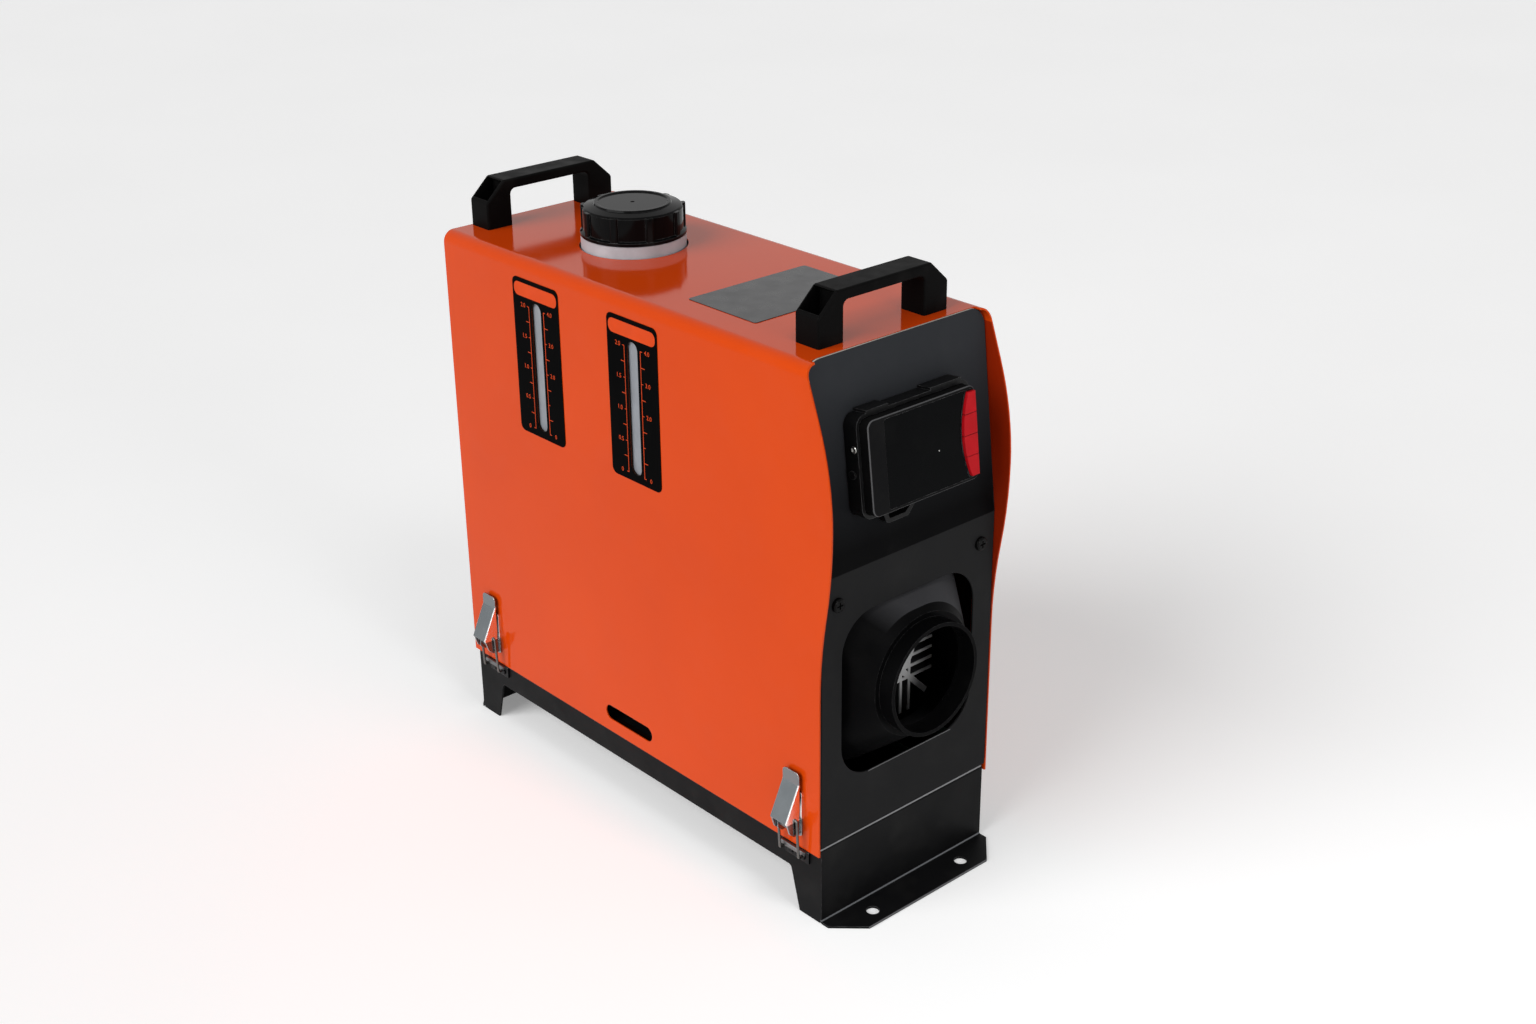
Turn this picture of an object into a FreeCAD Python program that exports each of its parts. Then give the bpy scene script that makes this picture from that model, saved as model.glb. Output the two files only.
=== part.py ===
import FreeCAD, Part
import math
import os

# Portable diesel air heater in a latched sheet-metal case, in millimetres.
# Origin on the floor under the middle of the case, +Z up, the hot-air outlet facing -Y.

V = FreeCAD.Vector
os.makedirs("parts", exist_ok=True)

# Case
case_length = 372.0
case_width = 152.0
case_height = 371.5
hood_sheet = 1.2
hood_fold = 8.0
hood_bottom = 51.0
cheek_bulge = 10.0
cheek_start_z = 162.0
cheek_bulge_z = 275.0
cheek_brow_radius = 190.0
cheek_brow_z = 340.0
hood_seat_width = 8.0
hood_seat_setback = 44.0

# Base
base_sheet = 1.5
base_width = 146.4
base_end_inset = 0.7
deck_top = 55.0
rail_bottom = 30.5
foot_floor_length = 20.0
foot_rail_length = 28.0
flange_reach = 23.5
flange_chamfer_x = 19.0
flange_chamfer_y = 18.0
rear_chamfer_y = 22.8
bolt_hole_radius = 4.25
bolt_spacing_x = 81.2
bolt_reach = 12.4
bend_radius = 2.5

# Panels
panel_sheet = 1.2
panel_gap = 0.8
panel_flange = 18.0
crease_z = 240.5
panel_lean = 15.5
panel_corner = 12.0
panel_top_gap = 0.5
rear_panel_inset = 2.0
opening_width = 115.0
opening_bottom = 96.5
opening_top = 210.0
opening_radius = 26.0
panel_screw_x = 61.6
panel_screw_z = 222.0

# Screws
screw_radius = 2.5
screw_head_radius = 4.6
screw_head_height = 2.6
screw_length = 9.0
screw_clearance = 0.15
recess_reach = 2.4
recess_width = 1.0

# Level windows, scales, vents and the top plate
level_setback = 168.0
level_spacing = 100.0
scale_width = 49.5
scale_head = 14.5
scale_top_drop = 12.2
scale_corner = 4.5
sticker = 0.4
slot_width = 10.2
slot_length = 89.0
slot_lift = 5.0
scale_slot_margin = 0.2
vent_setback = 188.0
vent_length = 50.0
vent_height = 11.0
vent_z = 66.0
plate_length_x = 97.0
plate_length_y = 62.0
plate_setback = 115.5
plate_corner = 2.0

# Handles
handle_length = 106.0
handle_height = 32.0
handle_depth = 20.0
handle_post = 20.0
handle_grip = 7.0
handle_slope_x = 14.5
handle_slope_z = 13.5
handle_wall = 1.6
handle_floor = 7.0
handle_round = 1.4
handle_corner = 3.0
handle_inner_corner = 4.0
front_handle_setback = 35.5
rear_handle_setback = 11.0

# Fuel tank and cap
tank_wall = 3.0
tank_width = 149.0
tank_front_gap = 78.0
tank_rear_gap = 16.0
tank_head_gap = 8.3
tank_bottom = 229.0
tank_corner = 12.0
tank_edge = 6.0
neck_setback = 112.0
neck_collar_radius = 35.0
neck_radius = 29.0
neck_bore = 25.0
neck_engage = 15.0
hood_neck_gap = 1.2
cap_lift_off_hood = 8.0
cap_radius = 33.2
cap_ring_radius = 35.2
cap_rib_radius = 34.9
cap_rib_width = 5.2
cap_rib_count = 9
cap_height = 21.2
cap_roof = 3.6
cap_ring_height = 2.0
cap_shoulder = 2.6
cap_crown_inset = 7.4
cap_bevel = 1.2
cap_rim = 1.8
cap_dish = 0.8
cap_dimple = 2.0
cap_clearance = 0.5
seal_gap = 0.1

# Heater unit
axis_z = 157.5
shell_half_width = 56.0
shell_half_height = 60.0
shell_radius = 28.0
shell_wall = 2.5
duct_depth = 45.0
duct_flare_setback = 15.0
duct_wall = 2.5
duct_throat_radius = 41.0
spigot_radius = 37.5
spigot_reach = 22.8
spigot_length = 11.0
inlet_depth = 42.0
inlet_length = 30.0
inlet_slots = 7
inlet_step = 3.0
inlet_slot_margin = 6.0
burner_plane = 214.0
exchanger_length = 186.0
exchanger_core = 36.0
exchanger_wall = 5.0
fin_thickness = 2.0
corner_rib = 4.0
exchanger_flange = 8.0
exchanger_flange_x = 48.0
exchanger_flange_z = 50.0
exchanger_flange_corner = 20.0
exchanger_foot_x = 20.0
exchanger_foot_y = 18.0
exhaust_socket = 16.0
fin_pitch = 7.5
fin_gap = 3.0
burner_radius = 26.0
burner_wall = 2.0
burner_length = 96.0
plate_thickness = 4.0
plug_radius = 5.0
plug_setback = 22.0
plug_seat = 8.0
plug_head = 8.0
plug_head_height = 5.0
housing_radius = 46.0
housing_length = 40.0
housing_wall = 3.5
housing_foot_x = 18.0
housing_foot_y = 17.0
intake_socket = 9.0
motor_radius = 24.0
motor_length = 48.0
motor_round = 3.0
shaft_radius = 4.0
running_gap = 0.06
wheel_radius = 37.0
wheel_width = 14.0
wheel_setback = 8.0
wheel_hub_radius = 10.0
wheel_blades = 12
wheel_blade = 2.0
wheel_disc = 2.5
fan_radius = 51.0
fan_hub_radius = 20.0
fan_width = 18.0
fan_blades = 9
fan_setback = 4.0
fan_blade = 2.4
fan_blade_angle = 35.0
unit_width = 62.0
unit_length = 40.0
unit_height = 18.0
unit_setback = 4.0
unit_corner = 4.0
unit_plug_width = 16.0
unit_plug_reach = 4.0
unit_plug_height = 10.0
gasket_thickness = 2.0
gasket_x = 30.0
gasket_y = 52.0
gasket_corner = 8.0
stand_sheet = 1.5
stand_half_width = 44.0
stand_length = 136.0
stand_foot = 14.0
exhaust_radius = 12.0
intake_radius = 12.5
stub_wall = 1.5
stub_end_z = 24.0
stub_bead = 2.0
stub_bead_height = 3.0
stub_bead_gap = 1.0
exhaust_setback = 190.0
intake_setback = 238.0
pipe_gap = 0.5

# Tank shelf
shelf_sheet = 1.5
shelf_half_width = 66.0
shelf_leg_width = 20.0
shelf_leg_x = 62.0
shelf_leg_setbacks = (116.0, 306.0)
shelf_foot = 14.0
shelf_arm_width = 12.0
shelf_tab_drop = 14.0

# Fuel pump, filter and hoses
hose_radius = 3.0
hose_bore = 1.5
nipple_radius = 1.45
nipple_length = 9.0
pump_x = 25.0
pump_z = 75.0
pump_setback = 48.0
pump_radius = 14.0
pump_length = 90.0
pump_bore = 5.0
pump_round = 2.5
plunger_length = 30.0
plunger_gap = 0.06
plunger_stroke = 2.5
spring_length = 20.0
spring_wire = 0.6
spring_turns = 7
holder_width = 36.0
holder_length = 24.0
holder_rise = 34.0
filter_x = 61.0
filter_radius = 9.0
filter_length = 34.0
filter_round = 3.0
outlet_setback = 101.0
burner_feed_x = 18.0
burner_feed_setback = 205.0
hose_bend = 12.0
loom_radius = 3.0
loom_bend = 6.0
loom_hole_gap = 1.0
loom_height = 222.2
loom_rise_setback = 51.0
loom_panel_z = 300.0
lead_x = 24.0
grommet_radius = 8.0
grommet_lip = 2.5

# Controller on the leaning panel: heights are measured along it from the crease
unit_middle_x = -1.0
face_width = 89.0
face_low = 34.5
face_high = 93.0
face_depth = 18.0
face_corner = 5.0
face_round = 0.8
case_wall = 2.0
back_cover = 2.0
cradle_floor = 3.0
cradle_depth = 11.0
cradle_wall = 2.2
cradle_gap = 0.4
clip_rise = 1.6
left_clip_inset = 6.0
left_clip_length = 18.0
right_clip_inset = 4.0
right_clip_length = 26.0
tab_inset = 18.0
tab_length = 31.0
tab_drop = 9.0
tab_left_slope = 3.0
tab_right_slope = 10.0
tab_wall = 2.5
tab_corner = 3.0
window_depth = 1.2
window_margin = 2.0
window_web = 1.1
band_width = 13.0
keypad_width = 11.5
keypad_tip = 6.0
keypad_edge = 1.5
keypad_margin = 3.0
keypad_gap = 0.3
keypad_proud = 1.8
button_lip = 0.8
button_travel = 0.8
board_rise = 4.0
board_thickness = 1.6
switch_height = 2.4
switch_radius = 2.0
post_radius = 2.5
post_inset = 9.0
post_right_inset = 20.0
display_margin = 4.0
display_inset = 8.0

# Latches, measured out from the hood's face and up from its lower edge
latch_front_setback = 22.0
latch_rear_setback = 27.0
lever_width = 14.7
lever_sheet = 1.0
lever_top = 55.0
lever_bend = 46.5
lever_tip_out = 3.2
lever_foot_out = 14.0
lever_foot = 23.0
pivot_out = 7.0
pivot_rise = 16.0
pivot_radius = 1.0
bail_out = 6.4
bail_rise = 23.4
bail_radius = 0.9
bail_gap = 0.3
bail_bend = 1.1
knee_out = 4.8
toe_out = 0.4
catch_width = 22.0
catch_sheet = 1.2
catch_lip_out = 2.4
catch_lip = 2.4
catch_drop = 11.0
catch_gap = 0.7
bracket_below = 7.0
bracket_above = 25.0
ear_low = 5.5
ear_high = 6.0
ear_reach = 2.6
rivet_rise = 13.0
rivet_spacing = 8.0
rivet_radius = 1.5
rivet_head = 2.3
rivet_head_height = 1.0

# Places worked out from the sizes above
front_y = -case_length / 2
rear_y = case_length / 2
side_x = case_width / 2
inner_x = side_x - hood_sheet
inner_top = case_height - hood_sheet
base_x = base_width / 2
base_front = front_y + base_end_inset
base_rear = rear_y - base_end_inset
deck_under = deck_top - base_sheet
panel_x = inner_x - panel_gap
lean_angle = math.degrees(math.atan2(panel_lean, case_height - crease_z))
rear_face = rear_y - rear_panel_inset
neck_y = rear_y - neck_setback
duct_flare = front_y + duct_flare_setback
duct_mouth = front_y - spigot_reach
duct_throat = duct_mouth + spigot_length
tank_front = front_y + tank_front_gap
tank_rear = rear_y - tank_rear_gap
tank_top = inner_top - tank_head_gap
cap_bottom = case_height + cap_lift_off_hood
neck_top = cap_bottom + neck_engage
cap_bore = neck_radius + cap_clearance
shell_front = front_y + duct_depth
shell_rear = rear_y - inlet_depth
shell_bottom = axis_z - shell_half_height
shell_floor = shell_bottom + shell_wall
gasket_bottom = shell_bottom - gasket_thickness
stand_under = gasket_bottom - stand_sheet
burner_y = front_y + burner_plane
exhaust_y = front_y + exhaust_setback
intake_y = front_y + intake_setback
housing_end = burner_y + housing_length
motor_end = housing_end + motor_length
unit_floor = axis_z + motor_radius + pipe_gap + plate_thickness
shelf_top = tank_bottom
shelf_under = shelf_top - shelf_sheet
scale_top = case_height - scale_top_drop
scale_bottom = scale_top - scale_head - slot_length - slot_lift
slot_bottom = scale_bottom + slot_lift
level_ys = [front_y + level_setback + i * level_spacing for i in range(2)]
latch_ys = {"front": front_y + latch_front_setback, "rear": rear_y - latch_rear_setback}
latch_sides = {"left": -1, "right": 1}
handle_ys = {"front": front_y + front_handle_setback, "rear": rear_y - rear_handle_setback}
handle_screw_x = (handle_length - handle_post) / 2
outlet_y = front_y + outlet_setback
feed_y = front_y + burner_feed_setback
loom_y = motor_end - loom_rise_setback / 2
pump_front = front_y + pump_setback
pump_rear = pump_front + pump_length
filter_front = pump_front
filter_rear = filter_front + filter_length


# Helpers

def corner_run(corners, closed):
    # straight runs joined by tangent arcs; a corner is (point, radius)
    count = len(corners)
    edges = []
    joints = []
    for i, (point, radius) in enumerate(corners):
        ends = not closed and i in (0, count - 1)
        if radius == 0 or ends:
            joints.append((point, point))
            continue
        back = (corners[i - 1][0] - point).normalize()
        ahead = (corners[(i + 1) % count][0] - point).normalize()
        half = back.getAngle(ahead) / 2
        reach = radius / math.tan(half)
        middle = point + (back + ahead).normalize() * (radius / math.sin(half) - radius)
        enter = point + back * reach
        leave = point + ahead * reach
        edges.append((i, Part.Arc(enter, middle, leave).toShape()))
        joints.append((enter, leave))
    for i in range(count if closed else count - 1):
        start = joints[i][1]
        end = joints[(i + 1) % count][0]
        if start.distanceToPoint(end) > 1e-6:
            edges.append((i + 0.5, Part.makeLine(start, end)))
    edges.sort(key=lambda item: item[0])
    return Part.Wire([edge for order, edge in edges])


def spread(corners, axis, level):
    # flat corners (a, b) or (a, b, radius) laid in the plane square to an axis
    places = {"x": lambda a, b: V(level, a, b), "y": lambda a, b: V(a, level, b), "z": lambda a,
              b: V(a, b, level)}
    return [(places[axis](c[0], c[1]), c[2] if len(c) > 2 else 0) for c in corners]


def outline(corners, axis, level):
    return corner_run(spread(corners, axis, level), True)


def prism(corners, axis, low, high):
    ways = {"x": V(1, 0, 0), "y": V(0, 1, 0), "z": V(0, 0, 1)}
    return Part.Face(outline(corners, axis, low)).extrude(ways[axis] * (high - low))


def rounded(a0, a1, b0, b1, radius):
    return [(a0, b0, radius), (a1, b0, radius), (a1, b1, radius), (a0, b1, radius)]


def block(x0, x1, y0, y1, z0, z1):
    return Part.makeBox(x1 - x0, y1 - y0, z1 - z0, V(x0, y0, z0))


def rod(x, y, z, axis, radius, length):
    ways = {"x": V(1, 0, 0), "y": V(0, 1, 0), "z": V(0, 0, 1)}
    return Part.makeCylinder(radius, length, V(x, y, z), ways[axis])


def one(shape):
    # the single solid of a finished piece
    if len(shape.Solids) != 1:
        raise ValueError("%d solids where one was meant" % len(shape.Solids))
    return shape.Solids[0]


def join(first, *others):
    return one(first.fuse(list(others)).removeSplitter())


def cut(first, *tools):
    return first.cut(list(tools))


def sweep(points, bend, radius):
    corners = [(V(*p), bend) for p in points]
    path = corner_run(corners, False)
    start, ahead = corners[0][0], corners[1][0]
    ring = Part.Wire([Part.makeCircle(radius, start, ahead - start)])
    return one(path.makePipeShell([ring], True, True))


def hose(points, bend, radius, bore):
    return one(cut(sweep(points, bend, radius), sweep(points, bend, bore)))


def spin(points, x, y):
    # a closed profile of (radius, z) turned about an upright axis
    corners = [(V(x + r, y, z), 0) for r, z in points]
    return one(Part.Face(corner_run(corners, True)).revolve(V(x, y, 0), V(0, 0, 1), 360))


def mirrored(shape):
    return shape.mirror(V(0, 0, 0), V(1, 0, 0))


def moved(shape, x=0, y=0, z=0):
    copy = shape.copy()
    copy.translate(V(x, y, z))
    return copy


def turned(shape, place, axis, angle):
    copy = shape.copy()
    copy.rotate(V(*place), V(*axis), angle)
    return copy


def save(node, *shapes):
    shape = shapes[0] if len(shapes) == 1 else Part.makeCompound(list(shapes))
    for solid in shape.Solids:
        if not solid.isValid():
            raise ValueError(node + " is not a valid solid")
    shape.exportStep("parts/" + node + ".step")


# Case sheets

def cheek_edge(z_top):
    # front edge of the cheeks in the YZ plane: straight, a hollow, a bulge, then a lean back
    rise = cheek_bulge_z - cheek_start_z
    sweep_radius = (rise ** 2 / 4 + cheek_bulge ** 2 / 4) / cheek_bulge
    hollow = math.asin(rise / 2 / sweep_radius)
    brow = math.asin((cheek_brow_z - cheek_bulge_z) / cheek_brow_radius)
    nose = front_y - cheek_bulge

    def on_hollow(a):
        return V(0, front_y - sweep_radius * (1 - math.cos(a)), cheek_start_z + sweep_radius * math.sin(a))

    def on_bulge(a):
        return V(0, nose + sweep_radius * (1 - math.cos(a)), cheek_bulge_z - sweep_radius * math.sin(a))

    def on_brow(a):
        return V(0, nose + cheek_brow_radius * (1 - math.cos(a)),
                 cheek_bulge_z + cheek_brow_radius * math.sin(a))

    end = on_brow(brow)
    top = V(0, end.y + (z_top - end.z) * math.tan(brow), z_top)
    return [
        Part.Arc(on_hollow(0), on_hollow(hollow / 2), on_hollow(hollow)).toShape(),
        Part.Arc(on_bulge(hollow), on_bulge(hollow / 2), on_bulge(0)).toShape(),
        Part.Arc(on_brow(0), on_brow(brow / 2), on_brow(brow)).toShape(),
        Part.makeLine(end, top),
    ], top


def hood():
    profile = [
        (-side_x, hood_bottom), (-side_x, case_height, hood_fold),
        (side_x, case_height, hood_fold), (side_x, hood_bottom),
        (inner_x, hood_bottom), (inner_x, inner_top, hood_fold - hood_sheet),
        (-inner_x, inner_top, hood_fold - hood_sheet), (-inner_x, hood_bottom),
    ]
    shape = prism(profile, "y", front_y - 2 * cheek_bulge, rear_y)
    low, high, ahead = 0, case_height + hood_fold, front_y - 4 * cheek_bulge
    edge, top = cheek_edge(high)
    rest = [V(0, ahead, high), V(0, ahead, low), V(0, front_y, low), V(0, front_y, cheek_start_z)]
    runs = [Part.makeLine(a, b) for a, b in zip([top] + rest, rest)]
    away = Part.Face(Part.Wire(edge + runs)).extrude(V(2 * case_width, 0, 0))
    away.translate(V(-case_width, 0, 0))
    lip = side_x - hood_fold
    panel_back = front_y + panel_lean + panel_sheet + panel_top_gap
    tools = [away, block(-lip, lip, ahead, panel_back, inner_top - hood_fold, high)]
    tools.append(rod(0, neck_y, inner_top - 1, "z", neck_collar_radius + hood_neck_gap, hood_sheet + 2))
    for y in level_ys:
        half = slot_width / 2
        slot = rounded(y - half, y + half, slot_bottom, slot_bottom + slot_length, half * 0.999)
        tools.append(prism(slot, "x", -side_x - 1, -inner_x + 1))
    vent_y = front_y + vent_setback
    vent = rounded(vent_y - vent_length / 2, vent_y + vent_length / 2,
                   vent_z - vent_height / 2, vent_z + vent_height / 2, vent_height / 2 * 0.999)
    for side in (-1, 1):
        tools.append(prism(vent, "x", side * side_x - 2 * hood_sheet, side * side_x + 2 * hood_sheet))
    for y in handle_ys.values():
        for x in (-handle_screw_x, handle_screw_x):
            tools.append(rod(x, y, inner_top - 1, "z", screw_radius + screw_clearance, hood_sheet + 2))
    for rivet in latch_places(bracket_rivet_holes()):
        tools.append(rivet)
    shape = cut(shape, *tools)
    seats = []
    for side in (-1, 1):
        xs = sorted((side * inner_x, side * (inner_x - hood_seat_width)))
        seats.append(block(xs[0], xs[1], front_y + hood_seat_setback, rear_y - hood_seat_setback,
                           deck_top, deck_top + hood_sheet))
    return join(one(shape), *seats)


def base_tray():
    t = base_sheet
    front_tip = front_y - flange_reach
    rear_tip = rear_y + flange_reach
    hat = [
        (front_tip, 0), (base_front + t, 0, bend_radius), (base_front + t, deck_under, bend_radius - t),
        (base_rear - t, deck_under, bend_radius - t), (base_rear - t, 0, bend_radius), (rear_tip, 0),
        (rear_tip, t), (base_rear, t, bend_radius - t), (base_rear, deck_top, bend_radius),
        (base_front, deck_top, bend_radius), (base_front, t, bend_radius - t), (front_tip, t),
    ]
    shape = prism(hat, "x", -base_x, base_x)
    skirt = [
        (base_front + t, 0), (base_front + foot_floor_length, 0),
        (base_front + foot_rail_length, rail_bottom, 3),
        (base_rear - foot_rail_length, rail_bottom, 3), (base_rear - foot_floor_length, 0),
        (base_rear - t, 0),
        (base_rear - t, deck_under + t / 2), (base_front + t, deck_under + t / 2),
    ]
    shape = join(shape, prism(skirt, "x", base_x - t, base_x), prism(skirt, "x", -base_x, t - base_x))
    tools = []
    for way, tip, chamfer in ((-1, front_tip, flange_chamfer_y), (1, rear_tip, rear_chamfer_y)):
        for side in (-1, 1):
            start = tip - way * chamfer
            inner = side * (base_x - flange_chamfer_x)
            outer = side * (base_x + 1)
            corner = [(outer, tip + way), (outer, start), (side * base_x, start), (inner, tip),
                      (inner, tip + way)]
            tools.append(prism(corner, "z", -1, t + 1))
            end_y = front_y - bolt_reach if way < 0 else rear_y + bolt_reach
            tools.append(rod(side * bolt_spacing_x / 2, end_y, -1, "z", bolt_hole_radius, t + 2))
    tools.append(rod(0, exhaust_y, 0, "z", exhaust_radius + pipe_gap, deck_top + 1))
    tools.append(rod(0, intake_y, 0, "z", intake_radius + pipe_gap, deck_top + 1))
    for x, y in deck_screw_places():
        tools.append(rod(x, y, deck_under - 1, "z", screw_radius + screw_clearance, t + 2))
    for rivet in latch_places(catch_rivet_holes()):
        tools.append(rivet)
    return one(cut(shape, *tools))


def opening(y0, y1):
    half = opening_width / 2
    return prism(rounded(-half, half, opening_bottom, opening_top, opening_radius), "y", y0, y1)


def front_panel():
    t = panel_sheet
    lean = math.radians(lean_angle)
    inner_crease = crease_z - t * math.tan(lean / 2)
    sheet = [
        (front_y + panel_flange, deck_top), (front_y, deck_top, bend_radius),
        (front_y, crease_z, 4 * bend_radius),
        (front_y + panel_lean, case_height), (front_y + panel_lean + t / math.cos(lean), case_height),
        (front_y + t, inner_crease, 4 * bend_radius - t), (front_y + t, deck_top + t, bend_radius - t),
        (front_y + panel_flange, deck_top + t),
    ]
    shape = prism(sheet, "x", -panel_x, panel_x)
    face = [(-panel_x, 0), (panel_x, 0), (panel_x, case_height, panel_corner),
            (-panel_x, case_height, panel_corner)]
    shape = shape.common(prism(face, "y", front_y - 1, front_y + panel_lean + 3 * panel_flange))
    tools = [opening(front_y - 1, front_y + t + 1)]
    for x in (-panel_screw_x, panel_screw_x):
        tools.append(rod(x, front_y - 1, panel_screw_z, "y", screw_radius + screw_clearance, t + 2))
    tools.append(rod(0, front_y - 1, loom_panel_z, "y", loom_radius + 2, panel_lean + 2))
    for x, y in panel_foot_places(front_y, 1):
        tools.append(rod(x, y, deck_top - 1, "z", screw_radius + screw_clearance, t + 2))
    return one(cut(shape, *tools))


def rear_panel():
    t = panel_sheet
    top = inner_top - panel_top_gap
    sheet = [
        (rear_face - panel_flange, deck_top), (rear_face, deck_top, bend_radius), (rear_face, top),
        (rear_face - t, top), (rear_face - t, deck_top + t, bend_radius - t),
        (rear_face - panel_flange, deck_top + t),
    ]
    shape = prism(sheet, "x", -panel_x, panel_x)
    face = [(-panel_x, 0), (panel_x, 0), (panel_x, top, hood_fold), (-panel_x, top, hood_fold)]
    shape = shape.common(prism(face, "y", rear_face - 2 * panel_flange, rear_face + 1))
    tools = [opening(rear_face - t - 1, rear_face + 1)]
    for x in (-panel_screw_x, panel_screw_x):
        tools.append(rod(x, rear_face - t - 1, panel_screw_z, "y", screw_radius + screw_clearance, t + 2))
    tools.append(rod(lead_x, rear_face - t - 1, loom_height, "y", grommet_radius, t + 2))
    for x, y in panel_foot_places(rear_face, -1):
        tools.append(rod(x, y, deck_top - 1, "z", screw_radius + screw_clearance, t + 2))
    return one(cut(shape, *tools))


def panel_foot_places(face_y, way):
    return [(x, face_y + way * panel_flange / 2) for x in (-panel_screw_x, panel_screw_x)]


def shelf_foot_places():
    x = shelf_leg_x - shelf_foot / 2
    return [(side * x, front_y + s + shelf_leg_width / 2) for s in shelf_leg_setbacks for side in (-1, 1)]


def stand_foot_places():
    x = stand_half_width + stand_foot / 2
    middle = (exhaust_y + intake_y) / 2
    return [(side * x, middle + way * stand_length / 3) for side in (-1, 1) for way in (-1, 1)]


def deck_screw_places():
    feet = panel_foot_places(front_y, 1) + panel_foot_places(rear_face, -1)
    return feet + shelf_foot_places() + stand_foot_places()


def screw(length):
    # pan head above z = 0, shank below
    head = rod(0, 0, 0, "z", screw_head_radius, screw_head_height)
    crown = [e for e in head.Edges if e.BoundBox.ZMin > screw_head_height - 0.01
             and e.BoundBox.ZLength < 0.01]
    head = head.makeFillet(screw_head_height * 0.55, crown)
    recess = screw_head_height * 0.5
    arm = block(-recess_reach, recess_reach, -recess_width / 2, recess_width / 2, recess,
                screw_head_height + 1)
    head = one(cut(head, arm, turned(arm, (0, 0, 0), (0, 0, 1), 90)))
    return join(head, rod(0, 0, -length, "z", screw_radius, length))


def case_screws():
    upright = screw(screw_length)
    lying = turned(upright, (0, 0, 0), (1, 0, 0), 90)
    screws = []
    for x in (-panel_screw_x, panel_screw_x):
        screws.append(moved(lying, x, front_y, panel_screw_z))
        screws.append(moved(turned(lying, (0, 0, 0), (0, 0, 1), 180), x, rear_face, panel_screw_z))
    for x, y in panel_foot_places(front_y, 1) + panel_foot_places(rear_face, -1):
        screws.append(moved(upright, x, y, deck_top + panel_sheet))
    for x, y in shelf_foot_places():
        screws.append(moved(upright, x, y, deck_top + shelf_sheet))
    for x, y in stand_foot_places():
        screws.append(moved(upright, x, y, deck_top + stand_sheet))
    return screws


def handle_screws():
    long_screw = screw(handle_floor + hood_sheet + screw_head_height)
    return [moved(long_screw, x, y, case_height + handle_floor)
            for y in handle_ys.values() for x in (-handle_screw_x, handle_screw_x)]


def handle(y):
    half = handle_length / 2
    top = case_height + handle_height
    inner = half - handle_post
    shoulder = top - handle_slope_z
    bridge = [
        (-half, case_height), (-half, shoulder, handle_corner),
        (-half + handle_slope_x, top, handle_corner),
        (half - handle_slope_x, top, handle_corner), (half, shoulder, handle_corner), (half, case_height),
        (inner, case_height), (inner, top - handle_grip, handle_inner_corner),
        (-inner, top - handle_grip, handle_inner_corner), (-inner, case_height),
    ]
    shape = prism(bridge, "y", y - handle_depth / 2, y + handle_depth / 2)
    rims = [e for e in shape.Edges if e.BoundBox.YLength < 0.01 and e.BoundBox.ZMax > case_height + 0.01]
    shape = shape.makeFillet(handle_round, rims)
    tools = []
    for side in (-1, 1):
        slope = [(side * (half - handle_wall), case_height + handle_floor),
                 (side * (half - handle_wall), shoulder + handle_slope_z),
                 (side * (half - handle_slope_x + handle_wall), shoulder + handle_slope_z),
                 (side * (inner + handle_wall), top - handle_grip / 2),
                 (side * (inner + handle_wall), case_height + handle_floor)]
        tools.append(prism(slope, "y", y - handle_depth / 2 + handle_wall,
                           y + handle_depth / 2 - handle_wall))
        tools.append(rod(side * handle_screw_x, y, case_height - 1, "z", screw_radius + screw_clearance,
                         handle_floor + 2))
    return one(cut(shape, *tools))


def level_scales():
    scales = []
    for y in level_ys:
        half = scale_width / 2
        plate = prism(rounded(y - half, y + half, scale_bottom, scale_top, scale_corner),
                      "x", -side_x - sticker, -side_x)
        gap = slot_width / 2 + scale_slot_margin
        slot = rounded(y - gap, y + gap, slot_bottom - scale_slot_margin,
                       slot_bottom + slot_length + scale_slot_margin, gap * 0.999)
        scales.append(one(cut(plate, prism(slot, "x", -side_x - 1, -side_x + 1))))
    return scales


def top_plate():
    y = front_y + plate_setback
    plate = rounded(-plate_length_x / 2, plate_length_x / 2, y - plate_length_y / 2, y + plate_length_y / 2,
                    plate_corner)
    return prism(plate, "z", case_height, case_height + sticker)


# Fuel tank and cap

def tank_block(inset):
    half = tank_width / 2 - inset
    plan = rounded(-half, half, tank_front + inset, tank_rear - inset, tank_corner - inset)
    shape = prism(plan, "z", tank_bottom + inset, tank_top - inset)
    rims = [e for e in shape.Edges if e.BoundBox.ZLength < 0.01]
    return shape.makeFillet(tank_edge - inset, rims)


def fuel_tank():
    collar = rod(0, neck_y, tank_top - tank_wall, "z", neck_collar_radius,
                 cap_bottom - sticker - tank_top + tank_wall)
    neck = rod(0, neck_y, tank_top - tank_wall, "z", neck_radius, neck_top - tank_top + tank_wall)
    nipple = rod(filter_x, outlet_y, tank_bottom - nipple_length, "z", nipple_radius,
                 nipple_length + tank_wall)
    shape = join(tank_block(0), collar, neck, nipple)
    bore = rod(0, neck_y, tank_top - tank_edge, "z", neck_bore, neck_top - tank_top + 2 * tank_edge)
    return one(cut(shape, tank_block(tank_wall), bore))


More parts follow.
